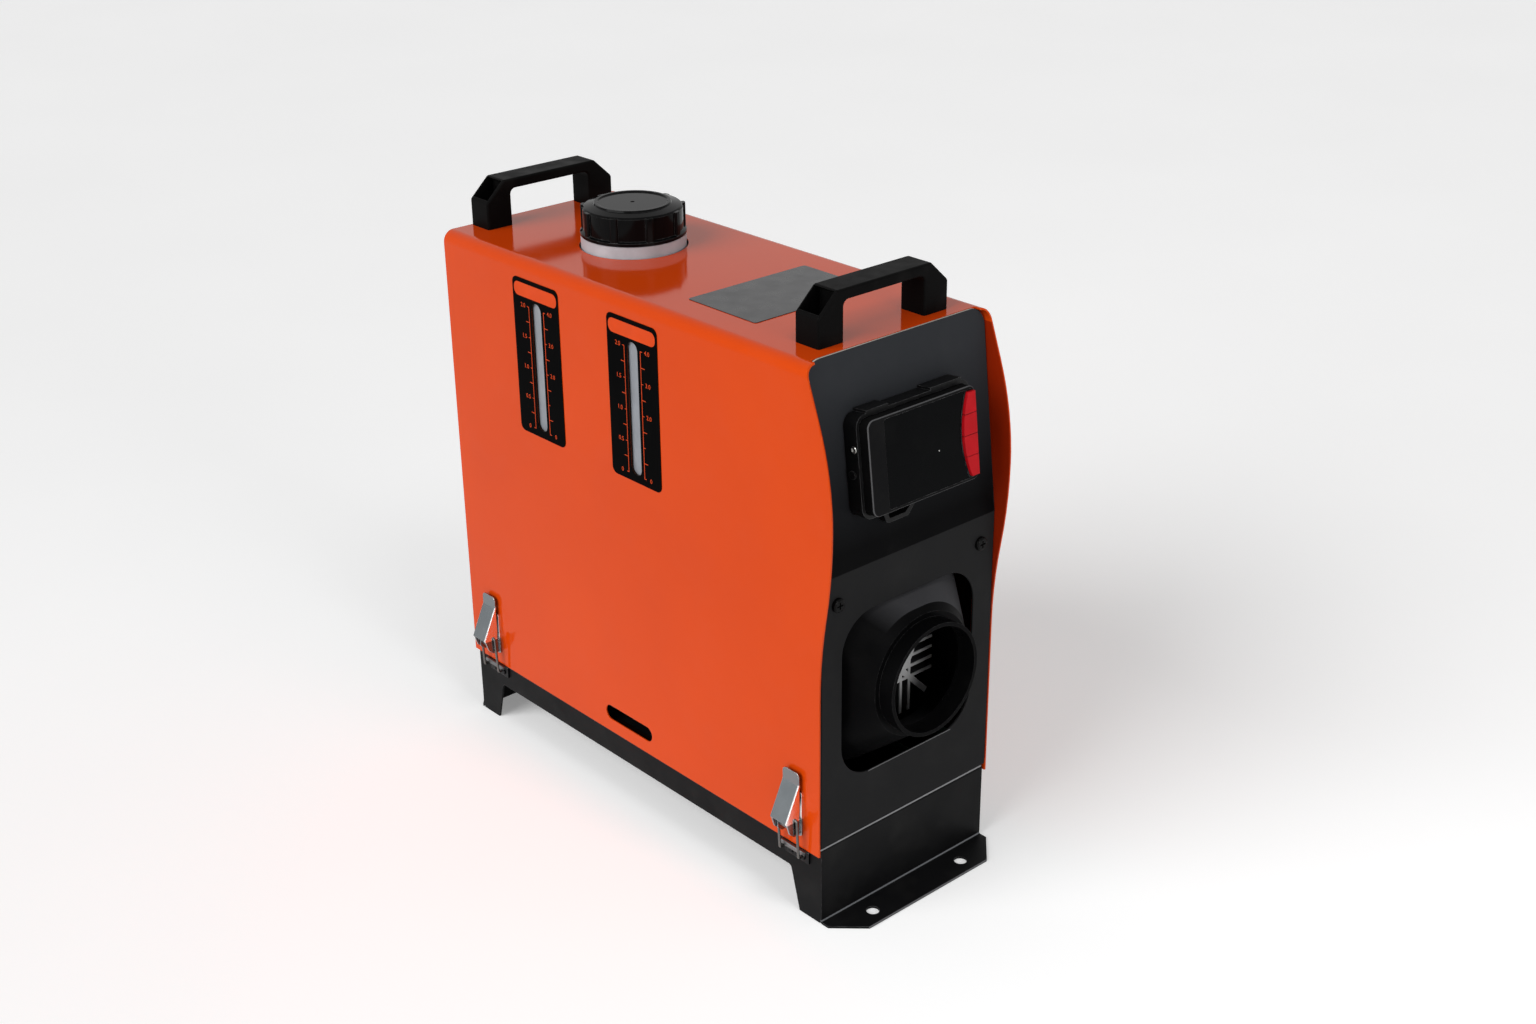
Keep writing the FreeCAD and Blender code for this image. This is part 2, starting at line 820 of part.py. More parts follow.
def fuel_cap():
    z = cap_bottom
    top = z + cap_height
    shoulder = top - cap_shoulder
    crown = cap_radius - cap_crown_inset
    dish = crown - cap_bevel / 2 - cap_rim
    profile = [
        (cap_bore, z), (cap_ring_radius, z), (cap_ring_radius, z + cap_ring_height),
        (cap_radius, z + cap_ring_height + cap_dish), (cap_radius, shoulder - cap_bevel),
        (cap_radius - cap_bevel, shoulder), (crown, top - cap_bevel), (crown - cap_bevel / 2, top),
        (dish, top), (dish - cap_dish, top - cap_dish),
        (0, top - cap_dish), (0, top - cap_roof), (cap_bore, top - cap_roof),
    ]
    shape = spin(profile, 0, neck_y)
    half = cap_rib_width / 2
    rib = prism([(-half, cap_bore + 1), (half, cap_bore + 1), (half, cap_rib_radius, cap_bevel),
                 (-half, cap_rib_radius, cap_bevel)], "z", z + cap_ring_height / 2,
                 shoulder - cap_bevel / 2)
    rib = moved(rib, 0, neck_y)
    ribs = [turned(rib, (0, neck_y, 0), (0, 0, 1), 360.0 * i / cap_rib_count) for i in range(cap_rib_count)]
    shape = join(shape, *ribs)
    dimple = Part.makeCone(cap_dimple * 0.15, cap_dimple, cap_dimple * 0.8, V(0, neck_y, top - cap_dimple),
                           V(0, 0, 1))
    return one(cut(shape, dimple))


def fuel_cap_seal():
    thickness = cap_bottom + cap_height - cap_roof - neck_top - seal_gap
    ring = rod(0, neck_y, neck_top + seal_gap, "z", neck_radius, thickness)
    return one(cut(ring, rod(0, neck_y, neck_top, "z", neck_bore, thickness + 1)))


# Heater unit

def shell_section(inset, y0, y1):
    half = shell_half_width - inset
    high = shell_half_height - inset
    return prism(rounded(-half, half, axis_z - high, axis_z + high, shell_radius - inset), "y", y0, y1)


def heater_shells():
    tube = cut(shell_section(0, shell_front, shell_rear),
               shell_section(shell_wall, shell_front - 1, shell_rear + 1))
    lower = tube.common(block(-case_width, case_width, shell_front, shell_rear, 0, axis_z))
    upper = tube.common(block(-case_width, case_width, shell_front, shell_rear, axis_z, case_height))
    tools = [rod(0, exhaust_y, deck_top, "z", exhaust_radius + pipe_gap, shell_half_height)]
    tools.append(rod(0, intake_y, deck_top, "z", intake_radius + pipe_gap, shell_half_height))
    tools.append(rod(burner_feed_x, feed_y, deck_top, "z", hose_radius + pipe_gap, shell_half_height))
    holes = [rod(x, loom_y, axis_z, "z", loom_radius + loom_hole_gap, case_height - axis_z)
             for x in (0, lead_x)]
    return one(cut(lower, *tools)), one(cut(upper, *holes))


def duct_ring(half_width, half_height, radius, y):
    return outline(rounded(-half_width, half_width, axis_z - half_height, axis_z + half_height, radius),
                   "y", y)


def duct_funnel(inset, end):
    # from the shell's section to the round throat
    wide = duct_ring(shell_half_width - inset, shell_half_height - inset, shell_radius - inset, duct_flare)
    neck = duct_throat_radius - inset
    return one(Part.makeLoft([wide, duct_ring(neck, neck, neck * 0.99, end)], True, True))


def outlet_duct():
    wall = duct_wall
    tube = shell_section(0, duct_flare, shell_front)
    spigot = rod(0, duct_mouth, axis_z, "y", spigot_radius, spigot_length)
    outer = join(tube, duct_funnel(0, duct_throat), spigot)
    inner = duct_funnel(wall, duct_throat + wall)
    hole = shell_section(wall, duct_flare, shell_front + 1)
    bore = rod(0, duct_mouth - 1, axis_z, "y", spigot_radius - wall, spigot_length + 2 + wall)
    return one(cut(outer, inner, hole, bore))


def inlet_grille():
    end = shell_rear + inlet_length
    inset = inlet_step
    shape = cut(shell_section(inset, shell_rear, end),
                shell_section(inset + shell_wall, shell_rear - 1, end - shell_wall))
    shape = join(one(shape), one(cut(shell_section(0, shell_rear, shell_rear + shell_wall),
                                     shell_section(inset + shell_wall, shell_rear - 1, end))))
    pitch = 2 * (shell_half_height - 2 * inset - inlet_slot_margin) / inlet_slots
    tools = []
    for i in range(inlet_slots):
        z = axis_z + (i - (inlet_slots - 1) / 2) * pitch
        reach = math.sqrt((shell_half_height - inlet_slot_margin) ** 2 - (z - axis_z) ** 2) * 0.84
        slot = rounded(-reach, reach, z - pitch * 0.32, z + pitch * 0.32, pitch * 0.3)
        tools.append(prism(slot, "y", end - shell_wall - 1, end + 1))
    return one(cut(shape, *tools))


def heat_exchanger():
    front = burner_y - exchanger_length
    core = rod(0, front, axis_z, "y", exchanger_core, exchanger_length)
    wide = shell_half_width - shell_wall - fin_gap
    high = shell_half_height - shell_wall - fin_gap
    fins = []
    half = fin_thickness / 2
    fin_end = burner_y - exchanger_flange
    reach = int((exchanger_core - fin_thickness) // fin_pitch)
    for i in range(-reach, reach + 1):
        at = i * fin_pitch
        fins.append(block(at - half, at + half, front, fin_end, axis_z - high, axis_z + high))
        fins.append(block(-wide, wide, front, fin_end, axis_z + at - half, axis_z + at + half))
    for angle in (45, -45):
        rib = block(-wide - high, wide + high, front, fin_end, axis_z - corner_rib / 2,
                    axis_z + corner_rib / 2)
        fins.append(turned(rib, (0, 0, axis_z), (0, 1, 0), angle))
    flange = prism(rounded(-exchanger_flange_x, exchanger_flange_x, axis_z - exchanger_flange_z,
                           axis_z + exchanger_flange_z, exchanger_flange_corner), "y", fin_end, burner_y)
    foot = block(-exchanger_foot_x, exchanger_foot_x, exhaust_y - exchanger_foot_y,
                 exhaust_y + exchanger_foot_y,
                 shell_floor, axis_z)
    room = join(shell_section(shell_wall + fin_gap, duct_flare, burner_y + 1),
                duct_funnel(duct_wall + fin_gap, duct_throat))
    shape = join(one(join(core, *fins).common(room)), flange, foot)
    tools = [rod(0, front + exchanger_wall, axis_z, "y", exchanger_core - exchanger_wall, exchanger_length)]
    tools.append(rod(0, exhaust_y, shell_floor - 1, "z", exhaust_radius + running_gap, exhaust_socket))
    tools.append(rod(0, exhaust_y, shell_floor, "z", exhaust_radius - stub_wall, axis_z - shell_floor))
    tools.append(rod(burner_feed_x, feed_y, shell_floor - 1, "z", hose_radius + pipe_gap,
                     axis_z - shell_floor))
    plug_y = burner_y - plug_setback
    tools.append(rod(0, plug_y, axis_z, "z", plug_radius + running_gap, exchanger_core * 2))
    tools.append(rod(0, plug_y, axis_z + exchanger_core + plug_seat, "z", plug_head + pipe_gap,
                     shell_half_height))
    return one(cut(shape, *tools))


def burner_tube():
    tube = rod(0, burner_y - burner_length, axis_z, "y", burner_radius, burner_length)
    plate = rod(0, burner_y - plate_thickness, axis_z, "y", exchanger_core - exchanger_wall - running_gap,
                plate_thickness)
    hollow = rod(0, burner_y - burner_length - 1, axis_z, "y", burner_radius - burner_wall,
                 burner_length - plate_thickness + 1)
    return one(cut(join(tube, plate), hollow))


def glow_plug():
    y = burner_y - plug_setback
    low = axis_z + burner_radius + pipe_gap
    seat = axis_z + exchanger_core + plug_seat
    stem = rod(0, y, low, "z", plug_radius, seat - low)
    turns = [math.radians(60 * i) for i in range(6)]
    flats = [(plug_head * math.cos(a), y + plug_head * math.sin(a)) for a in turns]
    pin = rod(0, y, seat, "z", plug_radius / 2, plug_head_height * 2)
    return join(stem, prism(flats, "z", seat, seat + plug_head_height), pin)


def blower_housing():
    drum = rod(0, burner_y, axis_z, "y", housing_radius, housing_length)
    hollow = rod(0, burner_y + housing_wall, axis_z, "y", housing_radius - housing_wall,
                 housing_length - 2 * housing_wall)
    foot = block(-housing_foot_x, housing_foot_x, intake_y - housing_foot_y, intake_y + housing_foot_y,
                 shell_floor,
                 axis_z - housing_radius + 2 * housing_wall)
    tray = block(-unit_width / 2, unit_width / 2, housing_end - housing_wall, motor_end,
                 unit_floor - plate_thickness,
                 unit_floor)
    shape = one(cut(join(drum, foot, tray), hollow))
    tools = [rod(0, housing_end - 2 * housing_wall, axis_z, "y", shaft_radius + 1.0, 3 * housing_wall)]
    tools.append(rod(0, intake_y, shell_floor - 1, "z", intake_radius + running_gap, intake_socket))
    tools.append(rod(0, intake_y, shell_floor, "z", intake_radius - stub_wall, housing_radius))
    return one(cut(shape, *tools))


def blower_motor():
    can = rod(0, housing_end, axis_z, "y", motor_radius, motor_length)
    rims = [e for e in can.Edges if e.BoundBox.YLength < 0.01 and e.BoundBox.YMin > housing_end + 1]
    can = can.makeFillet(motor_round, rims)
    return one(cut(can, rod(0, housing_end - 1, axis_z, "y", shaft_radius + running_gap, motor_length + 2)))


def rotor_shaft():
    start = burner_y + housing_wall + wheel_setback * 0.75
    end = motor_end + fan_width + 2 * fan_setback
    return rod(0, start, axis_z, "y", shaft_radius, end - start)


def bladed(hub_radius, tip_radius, y0, width, count, thickness, pitch_angle):
    hub = rod(0, y0, axis_z, "y", hub_radius, width)
    chord = width / math.cos(math.radians(pitch_angle)) * 0.9
    blade = block(-thickness / 2, thickness / 2, y0 + width / 2 - chord / 2, y0 + width / 2 + chord / 2,
                  axis_z + hub_radius - 4, axis_z + tip_radius)
    blade = turned(blade, (0, y0 + width / 2, axis_z), (0, 0, 1), pitch_angle)
    round_tip = rod(0, y0, axis_z, "y", tip_radius, width)
    blades = [turned(blade, (0, 0, axis_z), (0, 1, 0), 360.0 * i / count) for i in range(count)]
    shape = join(hub, *blades).common(round_tip)
    return one(cut(one(shape), rod(0, y0 - 1, axis_z, "y", shaft_radius, width + 2)))


def cold_air_fan():
    return bladed(fan_hub_radius, fan_radius, motor_end + fan_setback, fan_width, fan_blades, fan_blade,
                  fan_blade_angle)


def combustion_wheel():
    start = burner_y + housing_wall + wheel_setback
    wheel = bladed(wheel_hub_radius, wheel_radius, start, wheel_width, wheel_blades, wheel_blade, 0)
    disc = rod(0, start + wheel_width - wheel_disc, axis_z, "y", wheel_radius, wheel_disc)
    disc = cut(disc, rod(0, start, axis_z, "y", shaft_radius, wheel_width + 1))
    return join(wheel, one(disc))


def control_unit():
    y0 = housing_end + unit_setback
    end = y0 + unit_length
    half = unit_width / 2
    box = prism(rounded(-half, half, y0, end, unit_corner), "z", unit_floor, unit_floor + unit_height)
    plug_z = unit_floor + (unit_height - unit_plug_height) / 2
    plug = block(-unit_plug_width / 2, unit_plug_width / 2, end - 1, end + unit_plug_reach,
                 plug_z, plug_z + unit_plug_height)
    return join(box, plug)


def base_gasket():
    middle = (exhaust_y + intake_y) / 2
    plate = prism(rounded(-gasket_x, gasket_x, middle - gasket_y, middle + gasket_y, gasket_corner), "z",
                  gasket_bottom, shell_bottom)
    return one(cut(plate, *heater_floor_holes()))


def heater_floor_holes():
    return [
        rod(0, exhaust_y, deck_top + 5, "z", exhaust_radius + pipe_gap, shell_half_height),
        rod(0, intake_y, deck_top + 5, "z", intake_radius + pipe_gap, shell_half_height),
        rod(burner_feed_x, feed_y, deck_top + 5, "z", hose_radius + pipe_gap, shell_half_height),
    ]


def heater_stand():
    middle = (exhaust_y + intake_y) / 2
    t = stand_sheet
    half = stand_half_width
    bridge = [
        (-half - stand_foot, deck_top), (-half + t, deck_top, bend_radius),
        (-half + t, stand_under, bend_radius - t),
        (half - t, stand_under, bend_radius - t), (half - t, deck_top, bend_radius),
        (half + stand_foot, deck_top),
        (half + stand_foot, deck_top + t), (half, deck_top + t, bend_radius - t),
        (half, gasket_bottom, bend_radius),
        (-half, gasket_bottom, bend_radius), (-half, deck_top + t, bend_radius - t),
        (-half - stand_foot, deck_top + t),
    ]
    shape = prism(bridge, "y", middle - stand_length / 2, middle + stand_length / 2)
    tools = heater_floor_holes()
    for x, y in stand_foot_places():
        tools.append(rod(x, y, deck_top - 1, "z", screw_radius + screw_clearance, t + 2))
    return one(cut(shape, *tools))


def stub(y, radius, socket):
    top = shell_floor - 1 + socket
    bead_z = deck_under - stub_bead_gap - stub_bead_height
    bead = rod(0, y, bead_z, "z", radius + stub_bead, stub_bead_height)
    pipe = join(rod(0, y, stub_end_z, "z", radius, top - stub_end_z), bead)
    return one(cut(pipe, rod(0, y, stub_end_z - 1, "z", radius - stub_wall, top - stub_end_z + 2)))


# Tank shelf, pump, filter, hoses and wires

def tank_shelf():
    t = shelf_sheet
    half = shelf_half_width
    shape = block(-half, half, tank_front, tank_rear, shelf_under, shelf_top)
    pieces = []
    for side in (-1, 1):
        for setback in shelf_leg_setbacks:
            y0 = front_y + setback
            leg = [(side * shelf_leg_x, shelf_under + t / 2),
                   (side * (shelf_leg_x + t), shelf_under + t / 2),
                   (side * (shelf_leg_x + t), deck_top), (side * (shelf_leg_x - shelf_foot), deck_top),
                   (side * (shelf_leg_x - shelf_foot), deck_top + t), (side * shelf_leg_x, deck_top + t)]
            pieces.append(prism(leg, "y", y0, y0 + shelf_leg_width))
        arm = sorted((side * (panel_screw_x - shelf_arm_width / 2),
                      side * (panel_screw_x + shelf_arm_width / 2)))
        panel_back = front_y + panel_sheet
        rear_back = rear_face - panel_sheet
        pieces.append(block(arm[0], arm[1], panel_back, tank_front + t, shelf_under, shelf_top))
        pieces.append(block(arm[0], arm[1], panel_back, panel_back + t, shelf_top - shelf_tab_drop,
                            shelf_top))
        pieces.append(block(arm[0], arm[1], tank_rear - t, rear_back, shelf_under, shelf_top))
        pieces.append(block(arm[0], arm[1], rear_back - t, rear_back, shelf_top - shelf_tab_drop,
                            shelf_top))
    pieces.append(block(-half, half, tank_front - t, tank_front, shelf_under, shelf_top + shelf_foot))
    pieces.append(block(-half, half, tank_rear, tank_rear + t, shelf_under, shelf_top + shelf_foot))
    shape = join(shape, *pieces)
    tools = [rod(filter_x, outlet_y, shelf_under - 1, "z", hose_radius + pipe_gap, t + 2)]
    for x in (-panel_screw_x, panel_screw_x):
        tools.append(rod(x, front_y, panel_screw_z, "y", screw_radius, panel_sheet + 2 * t))
        tools.append(rod(x, rear_face - panel_sheet - 2 * t, panel_screw_z, "y", screw_radius,
                         panel_sheet + 2 * t))
    for x, y in shelf_foot_places():
        tools.append(rod(x, y, deck_top - 1, "z", screw_radius + screw_clearance, t + 2))
    return one(cut(shape, *tools))


def fuel_pump_body():
    can = rod(pump_x, pump_front, pump_z, "y", pump_radius, pump_length)
    rims = [e for e in can.Edges if e.BoundBox.YLength < 0.01]
    can = can.makeFillet(pump_round, rims)
    ends = rod(pump_x, pump_front - nipple_length, pump_z, "y", nipple_radius,
               pump_length + 2 * nipple_length)
    bore = rod(pump_x, plunger_start(), pump_z, "y", pump_bore,
               plunger_stroke + plunger_length + spring_length)
    return one(cut(join(can, ends), bore))


def plunger_start():
    travel = plunger_stroke + plunger_length + spring_length
    return pump_front + (pump_length - travel) / 2


def pump_plunger():
    return rod(pump_x, plunger_start(), pump_z, "y", pump_bore - plunger_gap, plunger_length)


def pump_spring():
    # one round wire wound on quarter-turn arcs, its ends closed onto the bore's end and the plunger
    seat = spring_wire + plunger_gap
    start = plunger_start() + plunger_length + seat
    length = spring_length + plunger_stroke - 2 * seat
    radius = pump_bore - 3 * spring_wire
    steps = spring_turns * 4
    step = math.pi / 2

    def at(k):
        angle = k * step
        return V(pump_x + radius * math.cos(angle), start + length * k / steps,
                 pump_z + radius * math.sin(angle))

    arcs = [Part.Arc(at(k), at(k + 0.5), at(k + 1)).toShape() for k in range(steps)]
    path = Part.Wire(arcs)
    ring = Part.Wire([Part.makeCircle(spring_wire, at(0), arcs[0].tangentAt(arcs[0].FirstParameter))])
    print("pump spring gap between turns %.2f mm" % (length / spring_turns - 2 * spring_wire))
    return one(path.makePipeShell([ring], True, False))


def pump_holder():
    y = pump_front + pump_length / 2
    half = holder_width / 2
    pad = prism(rounded(pump_x - half, pump_x + half, deck_top, deck_top + holder_rise + pump_radius - 8.0,
                        3), "y",
                y - holder_length / 2, y + holder_length / 2)
    return one(cut(pad, rod(pump_x, y - holder_length, pump_z, "y", pump_radius, 2 * holder_length)))


def fuel_filter():
    can = rod(filter_x, filter_front, pump_z, "y", filter_radius, filter_length)
    rims = [e for e in can.Edges if e.BoundBox.YLength < 0.01]
    can = can.makeFillet(filter_round, rims)
    return join(can, rod(filter_x, filter_front - nipple_length, pump_z, "y", nipple_radius,
                         filter_length + 2 * nipple_length))


def fuel_line_suction():
    start = tank_bottom
    points = [(filter_x, outlet_y, start), (filter_x, outlet_y, pump_z), (filter_x, filter_rear, pump_z)]
    return hose(points, min(hose_bend, outlet_y - filter_rear - nipple_length - pipe_gap), hose_radius,
                hose_bore)


def fuel_line_feed():
    back = front_y + 4 * hose_radius + panel_sheet
    points = [(filter_x, filter_front, pump_z), (filter_x, back, pump_z), (pump_x, back, pump_z),
              (pump_x, pump_front, pump_z)]
    return hose(points, min(hose_bend, pump_setback / 3), hose_radius, hose_bore)


def fuel_line_pressure():
    end = axis_z - exchanger_core + 3.0
    points = [(pump_x, pump_rear, pump_z), (pump_x, pump_rear + hose_bend, pump_z),
              (burner_feed_x, pump_rear + 3 * hose_bend, pump_z), (burner_feed_x, feed_y, pump_z),
              (burner_feed_x, feed_y, end)]
    return hose(points, hose_bend, hose_radius, hose_bore)


def wiring_loom():
    top = unit_floor + unit_height
    lean = math.radians(lean_angle)
    panel_y = front_y + (loom_panel_z - crease_z) * math.tan(lean) - cradle_floor / math.cos(lean)
    loop = tank_front - 5 * loom_radius - 6.0
    points = [(0, loom_y, top), (0, loom_y, loom_height), (0, loop, loom_height), (0, loop, loom_panel_z),
              (0, panel_y + loom_radius, loom_panel_z)]
    lead = [(lead_x, loom_y, top), (lead_x, loom_y, loom_height),
            (lead_x, rear_face - 2 * panel_sheet, loom_height)]
    return [sweep(points, loom_bend, loom_radius), sweep(lead, loom_bend, loom_radius)]


def cable_grommet():
    t = panel_sheet
    flange = grommet_radius + grommet_lip
    inside = rear_face - t
    body = rod(lead_x, inside - grommet_lip, loom_height, "y", grommet_radius, t + 2 * grommet_lip)
    outer = rod(lead_x, rear_face, loom_height, "y", flange, grommet_lip)
    inner = rod(lead_x, inside - grommet_lip, loom_height, "y", flange, grommet_lip)
    return one(cut(join(body, outer, inner), rod(lead_x, inside - 4, loom_height, "y", loom_radius + 0.2,
                                                 t + 10)))


# Controller: built upright against the plane y = 0 with z measured from the crease, then leaned back

def leaned(shape):
    copy = turned(shape, (0, 0, 0), (1, 0, 0), -lean_angle)
    copy.translate(V(0, front_y, crease_z))
    return copy


def face_box(margin, depth_low, depth_high):
    left = unit_middle_x - face_width / 2 - margin
    right = unit_middle_x + face_width / 2 + margin
    plan = rounded(left, right, face_low - margin, face_high + margin, face_corner + margin)
    return prism(plan, "y", -depth_high, -depth_low)


def keypad_right():
    return unit_middle_x + face_width / 2 - keypad_edge


def keypad(margin, edge_margin, depth_low, depth_high):
    # a lens-shaped pad: bowed to the left, straight at the right
    right = keypad_right() + edge_margin
    low = face_low + keypad_margin - margin
    high = face_high - keypad_margin + margin
    tip = keypad_right() - keypad_tip - margin
    bow = keypad_right() - keypad_width - margin
    y = -depth_high
    corners = [V(tip, y, high), V(bow, y, (low + high) / 2), V(tip, y, low), V(right, y, low),
               V(right, y, high)]
    edges = [Part.Arc(corners[0], corners[1], corners[2]).toShape(), Part.makeLine(corners[2], corners[3]),
             Part.makeLine(corners[3], corners[4]), Part.makeLine(corners[4], corners[0])]
    return Part.Face(Part.Wire(edges)).extrude(V(0, depth_high - depth_low, 0))


def case_floor():
    return cradle_floor + back_cover


def controller_cradle():
    gap = cradle_gap
    wall = cradle_wall
    shape = face_box(gap + wall, 0, cradle_depth)
    shape = cut(shape, face_box(gap, cradle_floor, cradle_depth + 1))
    left = unit_middle_x - face_width / 2
    right = unit_middle_x + face_width / 2
    top = face_high + gap + wall
    clips = []
    for x0, length in ((left + left_clip_inset, left_clip_length),
                       (right - right_clip_inset - right_clip_length, right_clip_length)):
        clips.append(block(x0, x0 + length, -cradle_depth, 0, top - wall / 2, top + clip_rise))
    low = face_low - gap - wall
    tab_x = left + tab_inset
    tab_end = tab_x + tab_length
    tab = prism([(tab_x, low + wall / 2), (tab_x + tab_left_slope, low - tab_drop, tab_corner),
                 (tab_end - tab_right_slope, low - tab_drop, tab_corner), (tab_end, low + wall / 2)],
                "y", -cradle_floor * 2, 0)
    eye_z = low - tab_drop + tab_wall
    eye = prism([(tab_x + 1.5 * tab_wall, low - tab_wall / 2),
                 (tab_x + tab_left_slope + tab_wall, eye_z, tab_corner / 2),
                 (tab_end - tab_right_slope - tab_wall, eye_z, tab_corner / 2),
                 (tab_end - 2 * tab_wall, low - tab_wall / 2)], "y", -cradle_floor * 3, 1)
    tab = cut(tab, eye)
    shape = join(one(shape), one(tab), *clips)
    bump = rod(left - gap - wall - 1.0, -cradle_depth / 2, (face_low + face_high) / 2 - 4, "x", 2.6, 2.0)
    hole = rod(0, -cradle_depth, loom_hole_height(), "y", loom_radius + 2, cradle_depth + 1)
    return one(cut(join(shape, bump), hole))


def loom_hole_height():
    return (loom_panel_z - crease_z) / math.cos(math.radians(lean_angle))


def controller_back():
    return face_box(0, cradle_floor, case_floor())


def controller_case():
    shape = face_box(0, case_floor(), face_depth)
    front = [e for e in shape.Edges if e.BoundBox.YMax < 0.01 - face_depth]
    shape = shape.makeFillet(face_round, front)
    hollow = face_box(-case_wall, case_floor() - 1, face_depth - case_wall)
    return one(cut(shape, hollow, window_blank(0.1), keypad(keypad_gap, keypad_gap, 0, face_depth + 1)))


def window_blank(margin):
    left = unit_middle_x - face_width / 2 + band_width - margin
    right = unit_middle_x + face_width / 2 - window_margin
    plan = rounded(left, right, face_low + window_margin - margin, face_high - window_margin + margin, 1.5)
    blank = prism(plan, "y", -face_depth - margin * 10, window_depth + margin - face_depth)
    return cut(blank, keypad(window_web - margin, case_width, 0, face_depth * 2))


def controller_window():
    return one(window_blank(0))


def controller_board():
    low = case_floor()
    wall = case_wall + 0.3
    board = face_box(-wall, low + board_rise, low + board_rise + board_thickness)
    posts = []
    for x in (unit_middle_x - face_width / 2 + post_inset,
              unit_middle_x + face_width / 2 - post_right_inset):
        for z in (face_low + post_inset, face_high - post_inset):
            posts.append(rod(x, -low - board_rise - 0.5, z, "y", post_radius, board_rise + 0.5))
    top = low + board_rise + board_thickness
    right = keypad_right() - keypad_tip / 2
    switches = [rod(right, -top - switch_height, z, "y", switch_radius, switch_height + 0.2)
                for z in button_middles()]
    left = unit_middle_x - face_width / 2 + band_width + display_margin
    far = keypad_right() - keypad_width - button_lip - display_margin
    display = block(left, far, -face_depth + case_wall + 0.2, -top, face_low + display_inset,
                    face_high - display_inset)
    return join(board, display, *(posts + switches))


def button_edges():
    low = face_low + keypad_margin
    high = face_high - keypad_margin
    return [low + (high - low) * i / 4 for i in range(5)]


def button_middles():
    edges = button_edges()
    return [(a + b) / 2 for a, b in zip(edges, edges[1:])]


def button(i):
    edges = button_edges()
    half = keypad_gap / 2
    top = face_depth + keypad_proud
    root = case_floor() + board_rise + board_thickness + switch_height + button_travel + 0.2
    slab = block(-case_width, case_width, -top - 1, 0, edges[i] + half, edges[i + 1] - half)
    cap = keypad(0, 0, root, top).common(slab)
    lip_high = face_depth - case_wall - 0.2
    lip = keypad(button_lip, 0, root, lip_high).common(slab)
    return join(one(cap), one(lip))


# Latches, built on the right side with x measured from the hood's face and y from the latch's middle

def latch_z(rise):
    return hood_bottom + rise


def lever_half():
    return lever_width / 2


def latch_lever():
    half = lever_half()
    t = lever_sheet
    slant = [
        (lever_tip_out - t, latch_z(lever_top)), (lever_tip_out, latch_z(lever_top)),
        (lever_tip_out, latch_z(lever_bend), 2), (lever_foot_out, latch_z(lever_foot)),
        (lever_foot_out - t, latch_z(lever_foot) - t / 2),
        (lever_tip_out - t, latch_z(lever_bend) - t / 2, 1),
    ]
    face = prism(slant, "y", -half, half)
    blank = [(-half, 0), (half, 0), (half, latch_z(lever_top), 3), (-half, latch_z(lever_top), 3)]
    face = one(face.common(prism(blank, "x", 0, lever_foot_out + 1)))
    back = lever_tip_out - t / 2
    cheek = [
        (back, latch_z(lever_bend) - t), (lever_foot_out - t / 2, latch_z(lever_foot)),
        (pivot_out + 4, latch_z(pivot_rise - 1), 2), (pivot_out + 0.5, latch_z(pivot_rise - 4), 2.5),
        (pivot_out - 3.4, latch_z(pivot_rise - 1), 2), (back - 0.1, latch_z(pivot_rise + 13), 2),
    ]
    shape = join(face, prism(cheek, "y", half - t, half), prism(cheek, "y", -half, t - half))
    pin = rod(pivot_out, -half - 1, latch_z(pivot_rise), "y", pivot_radius + running_gap, lever_width + 2)
    eye = rod(bail_out, -half - 1, latch_z(bail_rise), "y", bail_radius + running_gap, lever_width + 2)
    return one(cut(shape, pin, eye))


def latch_bail():
    toe_z = hood_bottom - catch_gap - catch_lip - bail_gap - bail_radius
    half = lever_half() + bail_gap + bail_radius
    inner = lever_half() - lever_sheet + 0.1
    side = [(bail_out, inner, latch_z(bail_rise)), (bail_out, half, latch_z(bail_rise)),
            (knee_out, half, toe_z),
            (toe_out, half, toe_z)]
    points = side + [(x, -y, z) for x, y, z in reversed(side)]
    return sweep(points, bail_bend, bail_radius)


def latch_bracket():
    half = lever_half()
    t = lever_sheet
    ear_y = half - t - bail_gap
    plate = prism(rounded(-half, half, latch_z(pivot_rise - bracket_below),
                          latch_z(pivot_rise + bracket_above), 2), "x", 0, t)
    nose = pivot_out + ear_reach
    ear = [(t / 2, latch_z(pivot_rise - ear_low)), (pivot_out - t, latch_z(pivot_rise - ear_low)),
           (nose, latch_z(pivot_rise - ear_reach), 2), (nose, latch_z(pivot_rise + ear_reach), 2),
           (t / 2, latch_z(pivot_rise + ear_high))]
    shape = join(plate, prism(ear, "y", ear_y - t, ear_y), prism(ear, "y", -ear_y, t - ear_y))
    pin = rod(pivot_out, -half, latch_z(pivot_rise), "y", pivot_radius, lever_width)
    return one(cut(shape, pin, *bracket_rivet_holes()))


def bracket_rivet_zs():
    return [latch_z(pivot_rise + rivet_rise + i * rivet_spacing) for i in range(2)]


def bracket_rivet_holes():
    reach = 2 * hood_sheet + lever_sheet
    return [rod(-hood_sheet * 1.5, 0, z, "x", rivet_radius, reach) for z in bracket_rivet_zs()]


def catch_rivet_ys():
    return [-catch_width / 4, catch_width / 4]


def catch_rivet_holes():
    z = hood_bottom - catch_drop * 0.7
    inset = side_x - base_x
    reach = 2 * base_sheet + catch_sheet
    return [rod(-inset - base_sheet * 1.5, y, z, "x", rivet_radius, reach) for y in catch_rivet_ys()]


